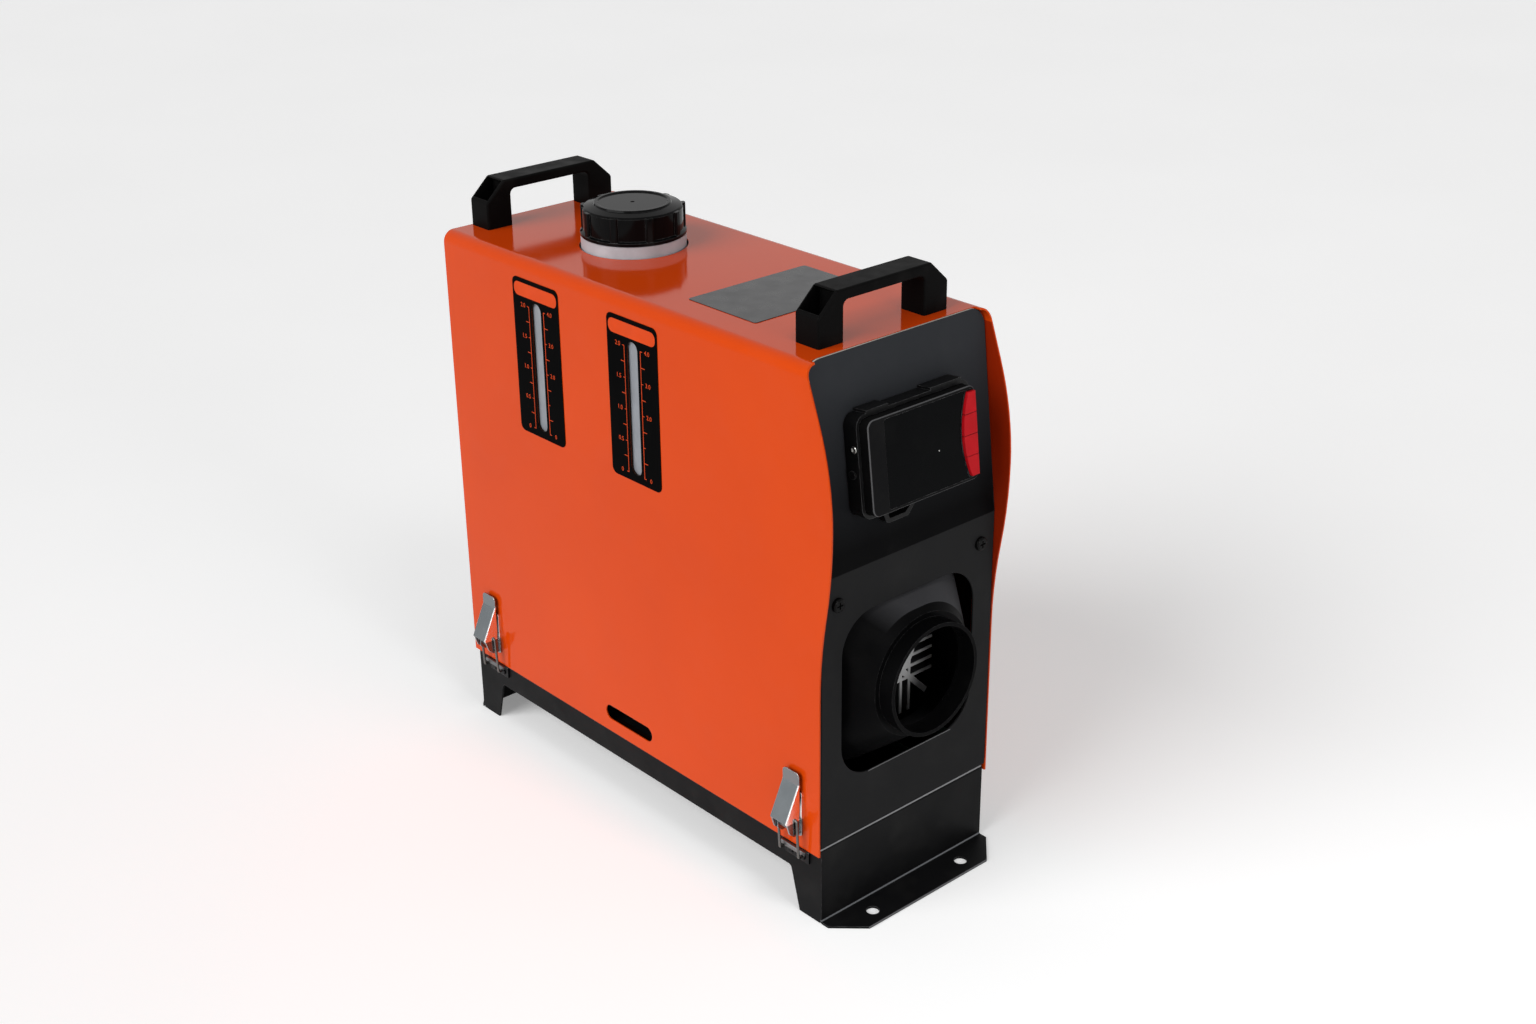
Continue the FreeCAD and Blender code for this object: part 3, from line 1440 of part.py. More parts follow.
def latch_catch():
    wall = base_x - side_x
    top = hood_bottom - catch_gap
    low = hood_bottom - catch_drop
    t = catch_sheet
    hook = [
        (wall, low), (wall + t, low), (wall + t, top - t, 0.6), (catch_lip_out - t, top - t),
        (catch_lip_out - t, top - catch_lip), (catch_lip_out, top - catch_lip), (catch_lip_out, top, 0.8),
        (wall, top),
    ]
    shape = prism(hook, "y", -catch_width / 2, catch_width / 2)
    return one(cut(shape, *catch_rivet_holes()))


def rivet(x0, x1, y, z):
    # shank through two sheets with a head outside
    shank = rod(x0, y, z, "x", rivet_radius, x1 - x0)
    head = rod(x1, y, z, "x", rivet_head, rivet_head_height)
    crown = [e for e in head.Edges if e.BoundBox.XMin > x1 + rivet_head_height - 0.01]
    return join(shank, head.makeFillet(rivet_head_height * 0.6, crown))


def latch_rivet_set():
    pin = rod(pivot_out, -lever_half(), latch_z(pivot_rise), "y", pivot_radius, lever_width)
    rivets = [rivet(-hood_sheet, lever_sheet, 0, z) for z in bracket_rivet_zs()]
    wall = base_x - side_x
    z = hood_bottom - catch_drop * 0.7
    rivets += [rivet(wall - base_sheet, wall + catch_sheet, y, z) for y in catch_rivet_ys()]
    return [pin] + rivets


def latch_place(shape, side, y):
    placed = moved(shape, side_x)
    if side < 0:
        placed = mirrored(placed)
    return moved(placed, 0, y)


def latch_places(shapes):
    return [latch_place(shape, side, y) for side in latch_sides.values() for y in latch_ys.values()
            for shape in shapes]


# Every piece to its own file

save("hood", hood())
save("base_tray", base_tray())
save("front_panel", front_panel())
save("rear_panel", rear_panel())
save("case_screws", *(case_screws() + handle_screws()))
save("front_handle", handle(handle_ys["front"]))
save("rear_handle", handle(handle_ys["rear"]))
save("level_scales", *level_scales())
save("top_plate", top_plate())
save("fuel_tank", fuel_tank())
save("fuel_cap", fuel_cap())
save("fuel_cap_seal", fuel_cap_seal())
lower_shell, upper_shell = heater_shells()
save("heater_lower_shell", lower_shell)
save("heater_upper_shell", upper_shell)
save("outlet_duct", outlet_duct())
save("inlet_grille", inlet_grille())
save("heat_exchanger", heat_exchanger())
save("burner_tube", burner_tube())
save("glow_plug", glow_plug())
save("blower_housing", blower_housing())
save("blower_motor", blower_motor())
save("rotor_shaft", rotor_shaft())
save("cold_air_fan", cold_air_fan())
save("combustion_wheel", combustion_wheel())
save("control_unit", control_unit())
save("base_gasket", base_gasket())
save("heater_stand", heater_stand())
save("exhaust_stub", stub(exhaust_y, exhaust_radius, exhaust_socket))
save("intake_stub", stub(intake_y, intake_radius, intake_socket))
save("tank_shelf", tank_shelf())
save("fuel_pump_body", fuel_pump_body())
save("pump_plunger", pump_plunger())
save("pump_spring", pump_spring())
save("pump_holder", pump_holder())
save("fuel_filter", fuel_filter())
save("fuel_line_suction", fuel_line_suction())
save("fuel_line_feed", fuel_line_feed())
save("fuel_line_pressure", fuel_line_pressure())
save("wiring_loom", *wiring_loom())
save("cable_grommet", cable_grommet())
save("controller_cradle", leaned(controller_cradle()))
save("controller_back", leaned(controller_back()))
save("controller_case", leaned(controller_case()))
save("controller_window", leaned(controller_window()))
save("controller_board", leaned(controller_board()))
for i, name in enumerate(("down", "set", "up", "power")):
    save("button_" + name, leaned(button(i)))
save("latch_brackets", *latch_places([latch_bracket()]))
save("latch_catches", *latch_places([latch_catch()]))
save("latch_rivets", *latch_places(latch_rivet_set()))
for side_name, side in latch_sides.items():
    for end_name, y in latch_ys.items():
        save("latch_lever_%s_%s" % (side_name, end_name), latch_place(latch_lever(), side, y))
        save("latch_bail_%s_%s" % (side_name, end_name), latch_place(latch_bail(), side, y))
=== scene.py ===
import bpy
import bmesh
import math
from mathutils import Matrix, Vector


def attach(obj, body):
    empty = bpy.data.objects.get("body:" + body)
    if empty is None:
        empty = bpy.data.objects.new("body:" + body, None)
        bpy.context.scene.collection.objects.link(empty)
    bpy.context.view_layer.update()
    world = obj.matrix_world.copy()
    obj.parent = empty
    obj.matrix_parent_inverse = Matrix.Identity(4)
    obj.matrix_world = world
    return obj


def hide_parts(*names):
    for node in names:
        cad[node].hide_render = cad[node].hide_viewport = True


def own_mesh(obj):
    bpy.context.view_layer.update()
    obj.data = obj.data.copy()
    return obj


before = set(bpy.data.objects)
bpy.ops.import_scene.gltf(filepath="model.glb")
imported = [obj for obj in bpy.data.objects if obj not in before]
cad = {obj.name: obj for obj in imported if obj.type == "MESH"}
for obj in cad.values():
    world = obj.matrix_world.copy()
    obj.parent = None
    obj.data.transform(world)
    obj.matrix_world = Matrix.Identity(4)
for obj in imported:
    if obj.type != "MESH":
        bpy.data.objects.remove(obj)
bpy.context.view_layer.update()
mm = 0.001
print("frame loaded:", len(cad), "nodes")

# Places that several pieces share

leanPlane = {"front": -186.0 * mm, "crease": 240.5 * mm, "lean": math.atan2(15.5, 131.0)}
leanOut = (0, -math.cos(leanPlane["lean"]), math.sin(leanPlane["lean"]))  # straight out of the leaning panel
windowMiddles = (-18 * mm, 82 * mm)
windowHalf = 5.25 * mm
latchMiddles = (-164 * mm, 159 * mm)


def leanDepth(out):  # how far along leanOut a face lies that stands this far off the panel
    return leanPlane["front"] * leanOut[1] + leanPlane["crease"] * leanOut[2] + out


# Surfaces, one dictionary each: mottle and grain are noise scales, edge is a rounding in mm,
# and a zone's share is how much of its tone shows

hoodPaint = {
    "tone": (0.60, 0.054, 0.0026), "deep": (0.56, 0.048, 0.0022), "mottle": 9,
    "rough": 0.10, "roughSpread": 0.02, "grain": 700, "bump": 0.015, "spec": 0.22, "tint": (1.0, 0.36, 0.10),
    "edge": 0.5, "wear": 0.3, "wearTone": (0.80, 0.17, 0.05), "dust": 0.006,
    "zones": [  # painted shade: deeper red inside the cheeks, and near-black on the cut edges round the level windows
        {"x": (-75.2 * mm, 75.2 * mm), "y": (-215 * mm, -169 * mm), "z": (60 * mm, 362 * mm),
         "tone": (0.26, 0.014, 0.0020), "share": 0.9},
    ] + [
        {"x": (-78 * mm, -74 * mm), "y": (middle - windowHalf, middle + windowHalf),
         "z": (255.2 * mm, 345 * mm), "tone": (0.004, 0.004, 0.004)}
        for middle in windowMiddles
    ],
    "inner": {  # painted shade: the inside darkened to near-black where it lies unlit
        "half": 75.2 * mm, "foldLow": 362.5 * mm, "foldIn": 67 * mm, "top": 370.6 * mm, "front": -169 * mm,
        "tone": (0.010, 0.004, 0.003),
    },
}
caseBlack = {
    "tone": (0.0054, 0.0054, 0.0058), "deep": (0.0042, 0.0042, 0.0045), "mottle": 14,
    "rough": 0.44, "roughSpread": 0.08, "grain": 1500, "bump": 0.08, "spec": 0.06,
    "edge": 0.5, "wear": 0.6, "wearTone": (0.16, 0.16, 0.165), "dust": 0.012,
}
baseBlack = dict(caseBlack)
baseBlack["zones"] = [  # painted highlights along the front's two bends and the toe's lip
    {"y": (-187 * mm, -183.6 * mm), "z": (54.1 * mm, 54.7 * mm), "tone": (0.40, 0.40, 0.41)},
    {"y": (-187.2 * mm, -184.6 * mm), "z": (1.7 * mm, 2.6 * mm), "tone": (0.15, 0.155, 0.165)},
    {"y": (-212 * mm, -209.2 * mm), "z": (0.4 * mm, 1.7 * mm), "tone": (0.12, 0.12, 0.125)},
]
panelBlack = dict(caseBlack, tone=(0.0025, 0.0025, 0.0027), deep=(0.0019, 0.0019, 0.0021))
panelBlack.update(spec=0.02, dust=0.006)
panelBlack["zones"] = [  # painted light: greyer towards the top and below the crease, which leaves painted shade just above the crease; painted highlights on the duct opening's edge and the top edge
    {"fade": ((0, 0, 1), 252 * mm, 352 * mm), "tone": (0.032, 0.034, 0.038), "share": 0.85},
    {"z": (50 * mm, 240.5 * mm), "tone": (0.017, 0.017, 0.0175), "share": 0.85},
    {"x": (-34 * mm, 40 * mm), "y": (-187 * mm, -185.4 * mm), "z": (96.2 * mm, 96.5 * mm),
     "tone": (0.26, 0.26, 0.265)},
    {"z": (358 * mm, 373 * mm), "facing": ((0, -1, 0), -0.6, 0.7), "tone": (0.42, 0.38, 0.34)},
]
screwBlack = {
    "tone": (0.0040, 0.0040, 0.0040), "deep": (0.0028, 0.0028, 0.0028), "mottle": 200,
    "rough": 0.16, "roughSpread": 0.05, "grain": 3000, "bump": 0.04, "spec": 0.06,
    "edge": 0.25, "wear": 0.3, "wearTone": (0.03, 0.03, 0.03), "dust": 0.004,
}
handlePlastic = {
    "tone": (0.0036, 0.0034, 0.0034), "deep": (0.0026, 0.0025, 0.0025), "mottle": 30,
    "rough": 0.40, "roughSpread": 0.07, "grain": 2200, "bump": 0.05, "spec": 0.02,
    "edge": 0.5, "wear": 0.25, "wearTone": (0.05, 0.05, 0.05), "dust": 0.012,
}
ductPlastic = {
    "tone": (0.0026, 0.0026, 0.0028), "deep": (0.0018, 0.0018, 0.0020), "mottle": 24,
    "rough": 0.34, "roughSpread": 0.08, "grain": 1800, "bump": 0.05, "spec": 0.02,
    "edge": 0.4, "wear": 0.5, "wearTone": (0.09, 0.09, 0.09), "dust": 0.004,
    "zones": [  # painted highlights: paler on top of the funnel where it faces up, and on the spigot's rim
        {"y": (-193.5 * mm, -160 * mm), "turned": ((0.5, -0.3, 0.81), 0.45, 1.05),
         "tone": (0.07, 0.07, 0.075), "share": 0.9},
        {"y": (-209.8 * mm, -209.1 * mm), "tone": (0.05, 0.05, 0.052)},
    ],
}
capGloss = {
    "tone": (0.0024, 0.0024, 0.0026), "deep": (0.0018, 0.0018, 0.0020), "mottle": 40,
    "rough": 0.08, "roughSpread": 0.02, "grain": 2600, "bump": 0.02, "spec": 0.06,
    "edge": 0.4, "wear": 0.5, "wearTone": (0.16, 0.16, 0.16), "dust": 0.004,
}
screenGloss = {
    "tone": (0.0016, 0.0018, 0.0021), "deep": (0.0012, 0.0014, 0.0016), "mottle": 60,
    "rough": 0.08, "roughSpread": 0.03, "grain": 1200, "bump": 0.005, "spec": 0.03, "dust": 0.003,
}
controllerPlastic = {
    "tone": (0.0036, 0.0036, 0.0038), "deep": (0.0028, 0.0028, 0.0030), "mottle": 50,
    "rough": 0.40, "roughSpread": 0.08, "grain": 1500, "bump": 0.22, "spec": 0.04,
    "edge": 0.45, "wear": 0.8, "wearTone": (0.20, 0.20, 0.205), "dust": 0.008,
    "zones": [  # a matt grey band down the left of the face, and a bright rim round it
        {"x": (-44.6 * mm, -32.6 * mm), "along": (leanOut, leanDepth(17.4 * mm), leanDepth(19 * mm)),
         "tone": (0.0030, 0.0030, 0.0034)},
        {"along": (leanOut, leanDepth(17.15 * mm), leanDepth(17.9 * mm)), "tone": (0.085, 0.085, 0.088)},
    ],
}
cradlePlastic = {
    "tone": (0.0044, 0.0044, 0.0046), "deep": (0.0032, 0.0032, 0.0034), "mottle": 50,
    "rough": 0.38, "roughSpread": 0.08, "grain": 2400, "bump": 0.06, "spec": 0.14,
    "edge": 0.5, "wear": 0.7, "wearTone": (0.14, 0.14, 0.145), "dust": 0.01,
}
buttonRed = {
    "tone": (0.45, 0.005, 0.010), "deep": (0.38, 0.0042, 0.008), "mottle": 120,
    "rough": 0.36, "roughSpread": 0.06, "grain": 3000, "bump": 0.03, "spec": 0.08,
    "edge": 0.35, "wear": 1.0, "wearTone": (0.05, 0.002, 0.003), "dust": 0.01,
}
latchZinc = {
    "tone": (0.225, 0.245, 0.258), "deep": (0.20, 0.22, 0.232), "mottle": 25,
    "rough": 0.22, "roughSpread": 0.04, "grain": 1800, "bump": 0.008, "metal": 1.0,
    "edge": 0.4, "wear": 0.95, "wearTone": (0.95, 0.95, 0.95), "dust": 0.01,
    "zones": [  # painted highlight along the folded front edge of each lever
        {"y": (middle - 7.7 * mm, middle - 6.3 * mm), "z": (73 * mm, 98 * mm), "tone": (0.97, 0.97, 0.97)}
        for middle in latchMiddles
    ],
}
bailWire = dict(latchZinc, tone=(0.15, 0.145, 0.14), deep=(0.12, 0.115, 0.11), zones=[])
brightZinc = {
    "tone": (0.50, 0.50, 0.48), "deep": (0.38, 0.38, 0.36), "mottle": 60,
    "rough": 0.28, "roughSpread": 0.12, "grain": 2400, "bump": 0.04, "metal": 1.0, "edge": 0.25, "dust": 0.03,
}
dullSteel = {
    "tone": (0.14, 0.14, 0.14), "deep": (0.08, 0.08, 0.08), "mottle": 70,
    "rough": 0.42, "roughSpread": 0.16, "grain": 1600, "bump": 0.12, "metal": 1.0, "edge": 0.25, "dust": 0.03,
}
catchSteel = {
    "tone": (0.19, 0.19, 0.195), "deep": (0.15, 0.15, 0.155), "mottle": 40,
    "rough": 0.36, "roughSpread": 0.08, "grain": 1600, "bump": 0.03, "metal": 1.0, "edge": 0.25, "dust": 0.01,
    "zones": [  # the plate below the lip is black
        {"z": (38 * mm, 47.7 * mm), "tone": (0.016, 0.016, 0.017)},
    ],
}
darkSteel = {
    "tone": (0.040, 0.040, 0.041), "deep": (0.024, 0.024, 0.025), "mottle": 60,
    "rough": 0.46, "roughSpread": 0.12, "grain": 1600, "bump": 0.08, "metal": 1.0, "edge": 0.25, "dust": 0.02,
}
castAlloy = {
    "tone": (0.90, 0.90, 0.90), "deep": (0.80, 0.80, 0.81), "mottle": 80,
    "rough": 0.55, "roughSpread": 0.12, "grain": 1500, "bump": 0.2, "metal": 0.15, "dust": 0.03,
}
# painted shade darkens the heat exchanger to near-black, and a painted highlight brightens its front ends
finAlloy = {
    "tone": (0.060, 0.060, 0.062), "deep": (0.042, 0.042, 0.044), "mottle": 80,
    "rough": 0.55, "roughSpread": 0.12, "grain": 1500, "bump": 0.2, "metal": 0.15, "dust": 0.03,
    "zones": [  # painted highlight across the front ends
        {"y": (-159 * mm, -157.2 * mm), "tone": (0.62, 0.62, 0.62)},
    ],
}
tankPlastic = {
    "tone": (0.46, 0.48, 0.51), "deep": (0.35, 0.365, 0.39), "mottle": 70,
    "rough": 0.40, "roughSpread": 0.1, "grain": 900, "bump": 0.06, "spec": 0.3, "milk": 0.35, "dust": 0.02,
    "zones": [  # shaded behind the windows
        {"x": (-80 * mm, -70 * mm), "tone": (0.13, 0.14, 0.16), "share": 0.6},
    ],
}
labelFilm = {
    "tone": (0.0016, 0.0016, 0.0017), "deep": (0.0012, 0.0012, 0.0013), "mottle": 30,
    "rough": 0.14, "roughSpread": 0.03, "grain": 1400, "bump": 0.02, "spec": 0.008, "dust": 0.002,
}
plateFilm = {
    "tone": (0.026, 0.026, 0.027), "deep": (0.019, 0.019, 0.020), "mottle": 25,
    "rough": 0.30, "roughSpread": 0.06, "grain": 1400, "bump": 0.02, "spec": 0.4, "dust": 0.02,
}
printOrange = {
    "tone": (0.62, 0.058, 0.006), "deep": (0.54, 0.048, 0.005), "mottle": 60,
    "rough": 0.36, "roughSpread": 0.06, "grain": 1800, "bump": 0.02, "spec": 0.08, "dust": 0.01,
}
softRubber = {
    "tone": (0.0070, 0.0070, 0.0070), "deep": (0.0045, 0.0045, 0.0045), "mottle": 60,
    "rough": 0.62, "roughSpread": 0.12, "grain": 2000, "bump": 0.15, "spec": 0.2, "dust": 0.03,
}
fuelHose = {
    "tone": (0.008, 0.022, 0.015), "deep": (0.005, 0.014, 0.010), "mottle": 60,
    "rough": 0.35, "roughSpread": 0.1, "grain": 1200, "bump": 0.05, "spec": 0.3, "dust": 0.03,
}
amberPlastic = {
    "tone": (0.40, 0.28, 0.10), "deep": (0.32, 0.21, 0.07), "mottle": 50,
    "rough": 0.22, "roughSpread": 0.08, "grain": 1200, "bump": 0.03, "milk": 0.3, "dust": 0.03,
}
boardGreen = {
    "tone": (0.015, 0.09, 0.035), "deep": (0.010, 0.06, 0.025), "mottle": 160,
    "rough": 0.4, "roughSpread": 0.1, "grain": 2500, "bump": 0.08, "dust": 0.03,
}
finish = {  # what all the surfaces share
    "noiseSpan": (0.3, 0.7), "mottleDetail": 4, "grainDetail": 3, "roughDetail": 5, "roughFiner": 3,
    "bumpDepth": 0.4 * mm, "bevelSamples": 4, "milkDepth": 12 * mm, "spec": 0.5, "tint": (1.0, 1.0, 1.0),
    "dust": {"scale": 35, "detail": 8, "span": (0.52, 0.75), "tone": (0.42, 0.40, 0.37)},
    "worn": {"scale": 260, "detail": 5, "span": (0.35, 0.62), "least": 0.1, "flat": 0.99, "sharp": 0.85},
    "zoneSoft": 0.1 * mm, "innerSoft": 0.2 * mm,
}


def noiseFactor(tree, scale, detail):
    coord = tree.nodes.new("ShaderNodeTexCoord")
    tex = tree.nodes.new("ShaderNodeTexNoise")
    tex.inputs["Scale"].default_value = scale
    tex.inputs["Detail"].default_value = detail
    tree.links.new(coord.outputs["Object"], tex.inputs["Vector"])
    return tex.outputs[0]


def ranged(tree, value, low, high, outLow, outHigh):
    node = tree.nodes.new("ShaderNodeMapRange")
    node.inputs["From Min"].default_value = low
    node.inputs["From Max"].default_value = high
    node.inputs["To Min"].default_value = outLow
    node.inputs["To Max"].default_value = outHigh
    tree.links.new(value, node.inputs["Value"])
    return node.outputs["Result"]


def combined(tree, kind, a, b=None):
    node = tree.nodes.new("ShaderNodeMath")
    node.operation = kind
    tree.links.new(a, node.inputs[0])
    if b is not None:
        tree.links.new(b, node.inputs[1])
    return node.outputs[0]


def dotWith(tree, source, way):  # way is a fixed direction or a socket
    node = tree.nodes.new("ShaderNodeVectorMath")
    node.operation = "DOT_PRODUCT"
    tree.links.new(source, node.inputs[0])
    if isinstance(way, tuple):
        node.inputs[1].default_value = way
    else:
        tree.links.new(way, node.inputs[1])
    return node.outputs["Value"]


def blendTone(tree, factor, base, tone):  # base is a colour or a socket
    node = tree.nodes.new("ShaderNodeMix")
    node.data_type = "RGBA"  # its colours are inputs 6 and 7 and output 2
    tree.links.new(factor, node.inputs[0])
    if isinstance(base, tuple):
        node.inputs[6].default_value = base + (1,)
    else:
        tree.links.new(base, node.inputs[6])
    node.inputs[7].default_value = tone + (1,)
    return node.outputs[2]


def edgeMask(tree, bevel):  # 1 along worn edges, broken up by noise
    worn = finish["worn"]
    normal = tree.nodes.new("ShaderNodeNewGeometry").outputs["Normal"]
    edge = ranged(tree, dotWith(tree, bevel, normal), worn["flat"], worn["sharp"], 0, 1)
    broken = ranged(tree, noiseFactor(tree, worn["scale"], worn["detail"]), *worn["span"], worn["least"], 1)
    return combined(tree, "MULTIPLY", edge, broken)


def insideMask(tree, inner):  # 1 inside the hood, where painted shade goes: between its sides, and under its top clear of the folds
    coord = tree.nodes.new("ShaderNodeTexCoord")
    parts = tree.nodes.new("ShaderNodeSeparateXYZ")
    tree.links.new(coord.outputs["Object"], parts.inputs[0])
    side = combined(tree, "ABSOLUTE", parts.outputs["X"])
    height = parts.outputs["Z"]
    soft = finish["innerSoft"]

    def below(value, limit):
        return ranged(tree, value, limit - soft, limit + soft, 1, 0)

    between = combined(tree, "MULTIPLY", below(side, inner["half"]), below(height, inner["foldLow"]))
    under = combined(tree, "MULTIPLY", below(side, inner["foldIn"]), below(height, inner["top"]))
    behind = ranged(tree, parts.outputs["Y"], inner["front"] - soft, inner["front"] + soft, 0, 1)
    return combined(tree, "MULTIPLY", combined(tree, "MAXIMUM", between, under), behind)


def zoneMask(tree, zone):  # 1 within every limit that the zone names
    place = tree.nodes.new("ShaderNodeTexCoord").outputs["Object"]
    normal = tree.nodes.new("ShaderNodeNewGeometry").outputs["Normal"]
    axes = {"x": (1, 0, 0), "y": (0, 1, 0), "z": (0, 0, 1)}
    soft = finish["zoneSoft"]
    factors = []
    within = [(place, axes[axis]) + zone[axis] for axis in axes if axis in zone]
    if "along" in zone:
        within.append((place,) + zone["along"])
    if "facing" in zone:
        within.append((normal,) + zone["facing"])
    for source, way, low, high in within:
        value = dotWith(tree, source, way)
        factors.append(ranged(tree, value, low - soft, low + soft, 0, 1))
        factors.append(ranged(tree, value, high - soft, high + soft, 1, 0))
    for source, key in ((place, "fade"), (normal, "turned")):  # these grow slowly from one end to the other
        if key in zone:
            way, low, high = zone[key]
            factors.append(ranged(tree, dotWith(tree, source, way), low, high, 0, 1))
    mask = factors[0]
    for factor in factors[1:]:
        mask = combined(tree, "MULTIPLY", mask, factor)
    return mask


def surface(name, look):
    mat = bpy.data.materials.new(name)
    mat.use_nodes = True
    tree = mat.node_tree
    bsdf = tree.nodes["Principled BSDF"]
    mottle = noiseFactor(tree, look["mottle"], finish["mottleDetail"])
    tone = blendTone(tree, ranged(tree, mottle, *finish["noiseSpan"], 0, 1), look["tone"], look["deep"])
    bump = tree.nodes.new("ShaderNodeBump")
    bump.inputs["Strength"].default_value = look["bump"]
    bump.inputs["Distance"].default_value = finish["bumpDepth"]
    tree.links.new(noiseFactor(tree, look["grain"], finish["grainDetail"]), bump.inputs["Height"])
    if "edge" in look:
        bevel = tree.nodes.new("ShaderNodeBevel")
        bevel.samples = finish["bevelSamples"]
        bevel.inputs["Radius"].default_value = look["edge"] * mm
        tree.links.new(bevel.outputs["Normal"], bump.inputs["Normal"])
        if "wear" in look:
            worn = ranged(tree, edgeMask(tree, bevel.outputs["Normal"]), 0, 1, 0, look["wear"])
            tone = blendTone(tree, worn, tone, look["wearTone"])
    # tone zones: real paint on some surfaces, painted shade and painted highlights on others
    for zone in look.get("zones", ()):
        mask = ranged(tree, zoneMask(tree, zone), 0, 1, 0, zone.get("share", 1))
        tone = blendTone(tree, mask, tone, zone["tone"])
    film = finish["dust"]
    dust = ranged(tree, noiseFactor(tree, film["scale"], film["detail"]), *film["span"], 0, look["dust"])
    tone = blendTone(tree, dust, tone, film["tone"])
    # painted shade: the inside of the hood darkened to near-black
    if "inner" in look:
        tone = blendTone(tree, insideMask(tree, look["inner"]), tone, look["inner"]["tone"])
    tree.links.new(tone, bsdf.inputs["Base Color"])
    least, most = look["rough"] - look["roughSpread"], look["rough"] + look["roughSpread"]
    patches = noiseFactor(tree, look["mottle"] * finish["roughFiner"], finish["roughDetail"])
    tree.links.new(ranged(tree, patches, *finish["noiseSpan"], least, most), bsdf.inputs["Roughness"])
    tree.links.new(bump.outputs["Normal"], bsdf.inputs["Normal"])
    bsdf.inputs["Metallic"].default_value = look.get("metal", 0)
    bsdf.inputs["Specular IOR Level"].default_value = look.get("spec", finish["spec"])
    bsdf.inputs["Specular Tint"].default_value = look.get("tint", finish["tint"]) + (1,)
    if "milk" in look:  # soft light inside milky plastic
        bsdf.inputs["Subsurface Weight"].default_value = look["milk"]
        bsdf.inputs["Subsurface Radius"].default_value = (1, 1, 1)
        bsdf.inputs["Subsurface Scale"].default_value = finish["milkDepth"]
    return mat


looks = {
    "hoodPaint": hoodPaint, "caseBlack": caseBlack, "baseBlack": baseBlack, "panelBlack": panelBlack,
    "screwBlack": screwBlack, "handlePlastic": handlePlastic, "ductPlastic": ductPlastic,
    "capGloss": capGloss, "screenGloss": screenGloss, "controllerPlastic": controllerPlastic,
    "cradlePlastic": cradlePlastic, "buttonRed": buttonRed, "latchZinc": latchZinc, "bailWire": bailWire,
    "brightZinc": brightZinc, "dullSteel": dullSteel, "catchSteel": catchSteel, "darkSteel": darkSteel,
    "castAlloy": castAlloy, "finAlloy": finAlloy, "tankPlastic": tankPlastic, "labelFilm": labelFilm,
    "plateFilm": plateFilm, "printOrange": printOrange, "softRubber": softRubber, "fuelHose": fuelHose,
    "amberPlastic": amberPlastic, "boardGreen": boardGreen,
}
paints = {name: surface(name, look) for name, look in looks.items()}
print("surfaces made:", len(paints))

# Which surface each CAD piece wears; those not named here wear latchZinc

wears = {
    "hoodPaint": ["hood"],
    "caseBlack": ["rear_panel"],
    "baseBlack": ["base_tray"],
    "panelBlack": ["front_panel"],
    "screwBlack": ["case_screws"],
    "handlePlastic": ["front_handle", "rear_handle"],
    "ductPlastic": ["outlet_duct", "heater_lower_shell", "heater_upper_shell", "inlet_grille", "cold_air_fan",
                    "combustion_wheel", "intake_stub", "control_unit"],
    "capGloss": ["fuel_cap"],
    "screenGloss": ["controller_window"],
    "controllerPlastic": ["controller_case"],
    "cradlePlastic": ["controller_cradle", "controller_back"],
    "buttonRed": ["button_power", "button_up", "button_down", "button_set"],
    "brightZinc": ["blower_motor", "pump_plunger", "glow_plug"],
    "dullSteel": ["exhaust_stub", "burner_tube", "rotor_shaft", "pump_spring"],
    "catchSteel": ["latch_rivets", "latch_catches"],
    "bailWire": ["latch_bail_left_front", "latch_bail_left_rear", "latch_bail_right_front",
                 "latch_bail_right_rear"],
    "darkSteel": ["heater_stand", "tank_shelf", "fuel_pump_body"],
    "castAlloy": ["blower_housing"],
    "finAlloy": ["heat_exchanger"],
    "tankPlastic": ["fuel_tank"],
    "labelFilm": ["level_scales"],
    "plateFilm": ["top_plate"],
    "softRubber": ["fuel_cap_seal", "base_gasket", "pump_holder", "cable_grommet", "wiring_loom"],
    "fuelHose": ["fuel_line_suction", "fuel_line_feed", "fuel_line_pressure"],
    "amberPlastic": ["fuel_filter"],
    "boardGreen": ["controller_board"],
}
dressed = {node: name for name, group in wears.items() for node in group}
for node, obj in cad.items():
    obj.data.materials.clear()
    obj.data.materials.append(paints[dressed.get(node, "latchZinc")])
print("CAD pieces dressed:", len(cad))


def added(name, data):  # a new object in the scene
    obj = bpy.data.objects.new(name, data)
    bpy.context.scene.collection.objects.link(obj)
    return obj


def shown(name, mesh, paint, body):
    obj = added(name, mesh)
    mesh.materials.append(paints[paint])
    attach(obj, body)
    return obj


def slabOn(bm, points, matrix, thick):  # a thin raised shape from a flat outline
    low = [bm.verts.new(matrix @ Vector((a, b, 0))) for a, b in points]
    high = [bm.verts.new(matrix @ Vector((a, b, thick))) for a, b in points]
    bm.faces.new(high)
    bm.faces.new(list(reversed(low)))
    count = len(points)
    for i in range(count):
        j = (i + 1) % count
        bm.faces.new((low[i], low[j], high[j], high[i]))


def bar(a0, a1, b0, b1):
    return [(a0, b0), (a1, b0), (a1, b1), (a0, b1)]


def roundRect(a0, a1, b0, b1, radius, steps=8):
    points = []
    centres = ((a1 - radius, b0 + radius, -90), (a1 - radius, b1 - radius, 0), (a0 + radius, b1 - radius, 90),
               (a0 + radius, b0 + radius, 180))
    for ca, cb, start in centres:
        for i in range(steps + 1):
            t = math.radians(start + 90 * i / steps)
            points.append((ca + radius * math.cos(t), cb + radius * math.sin(t)))
    return points


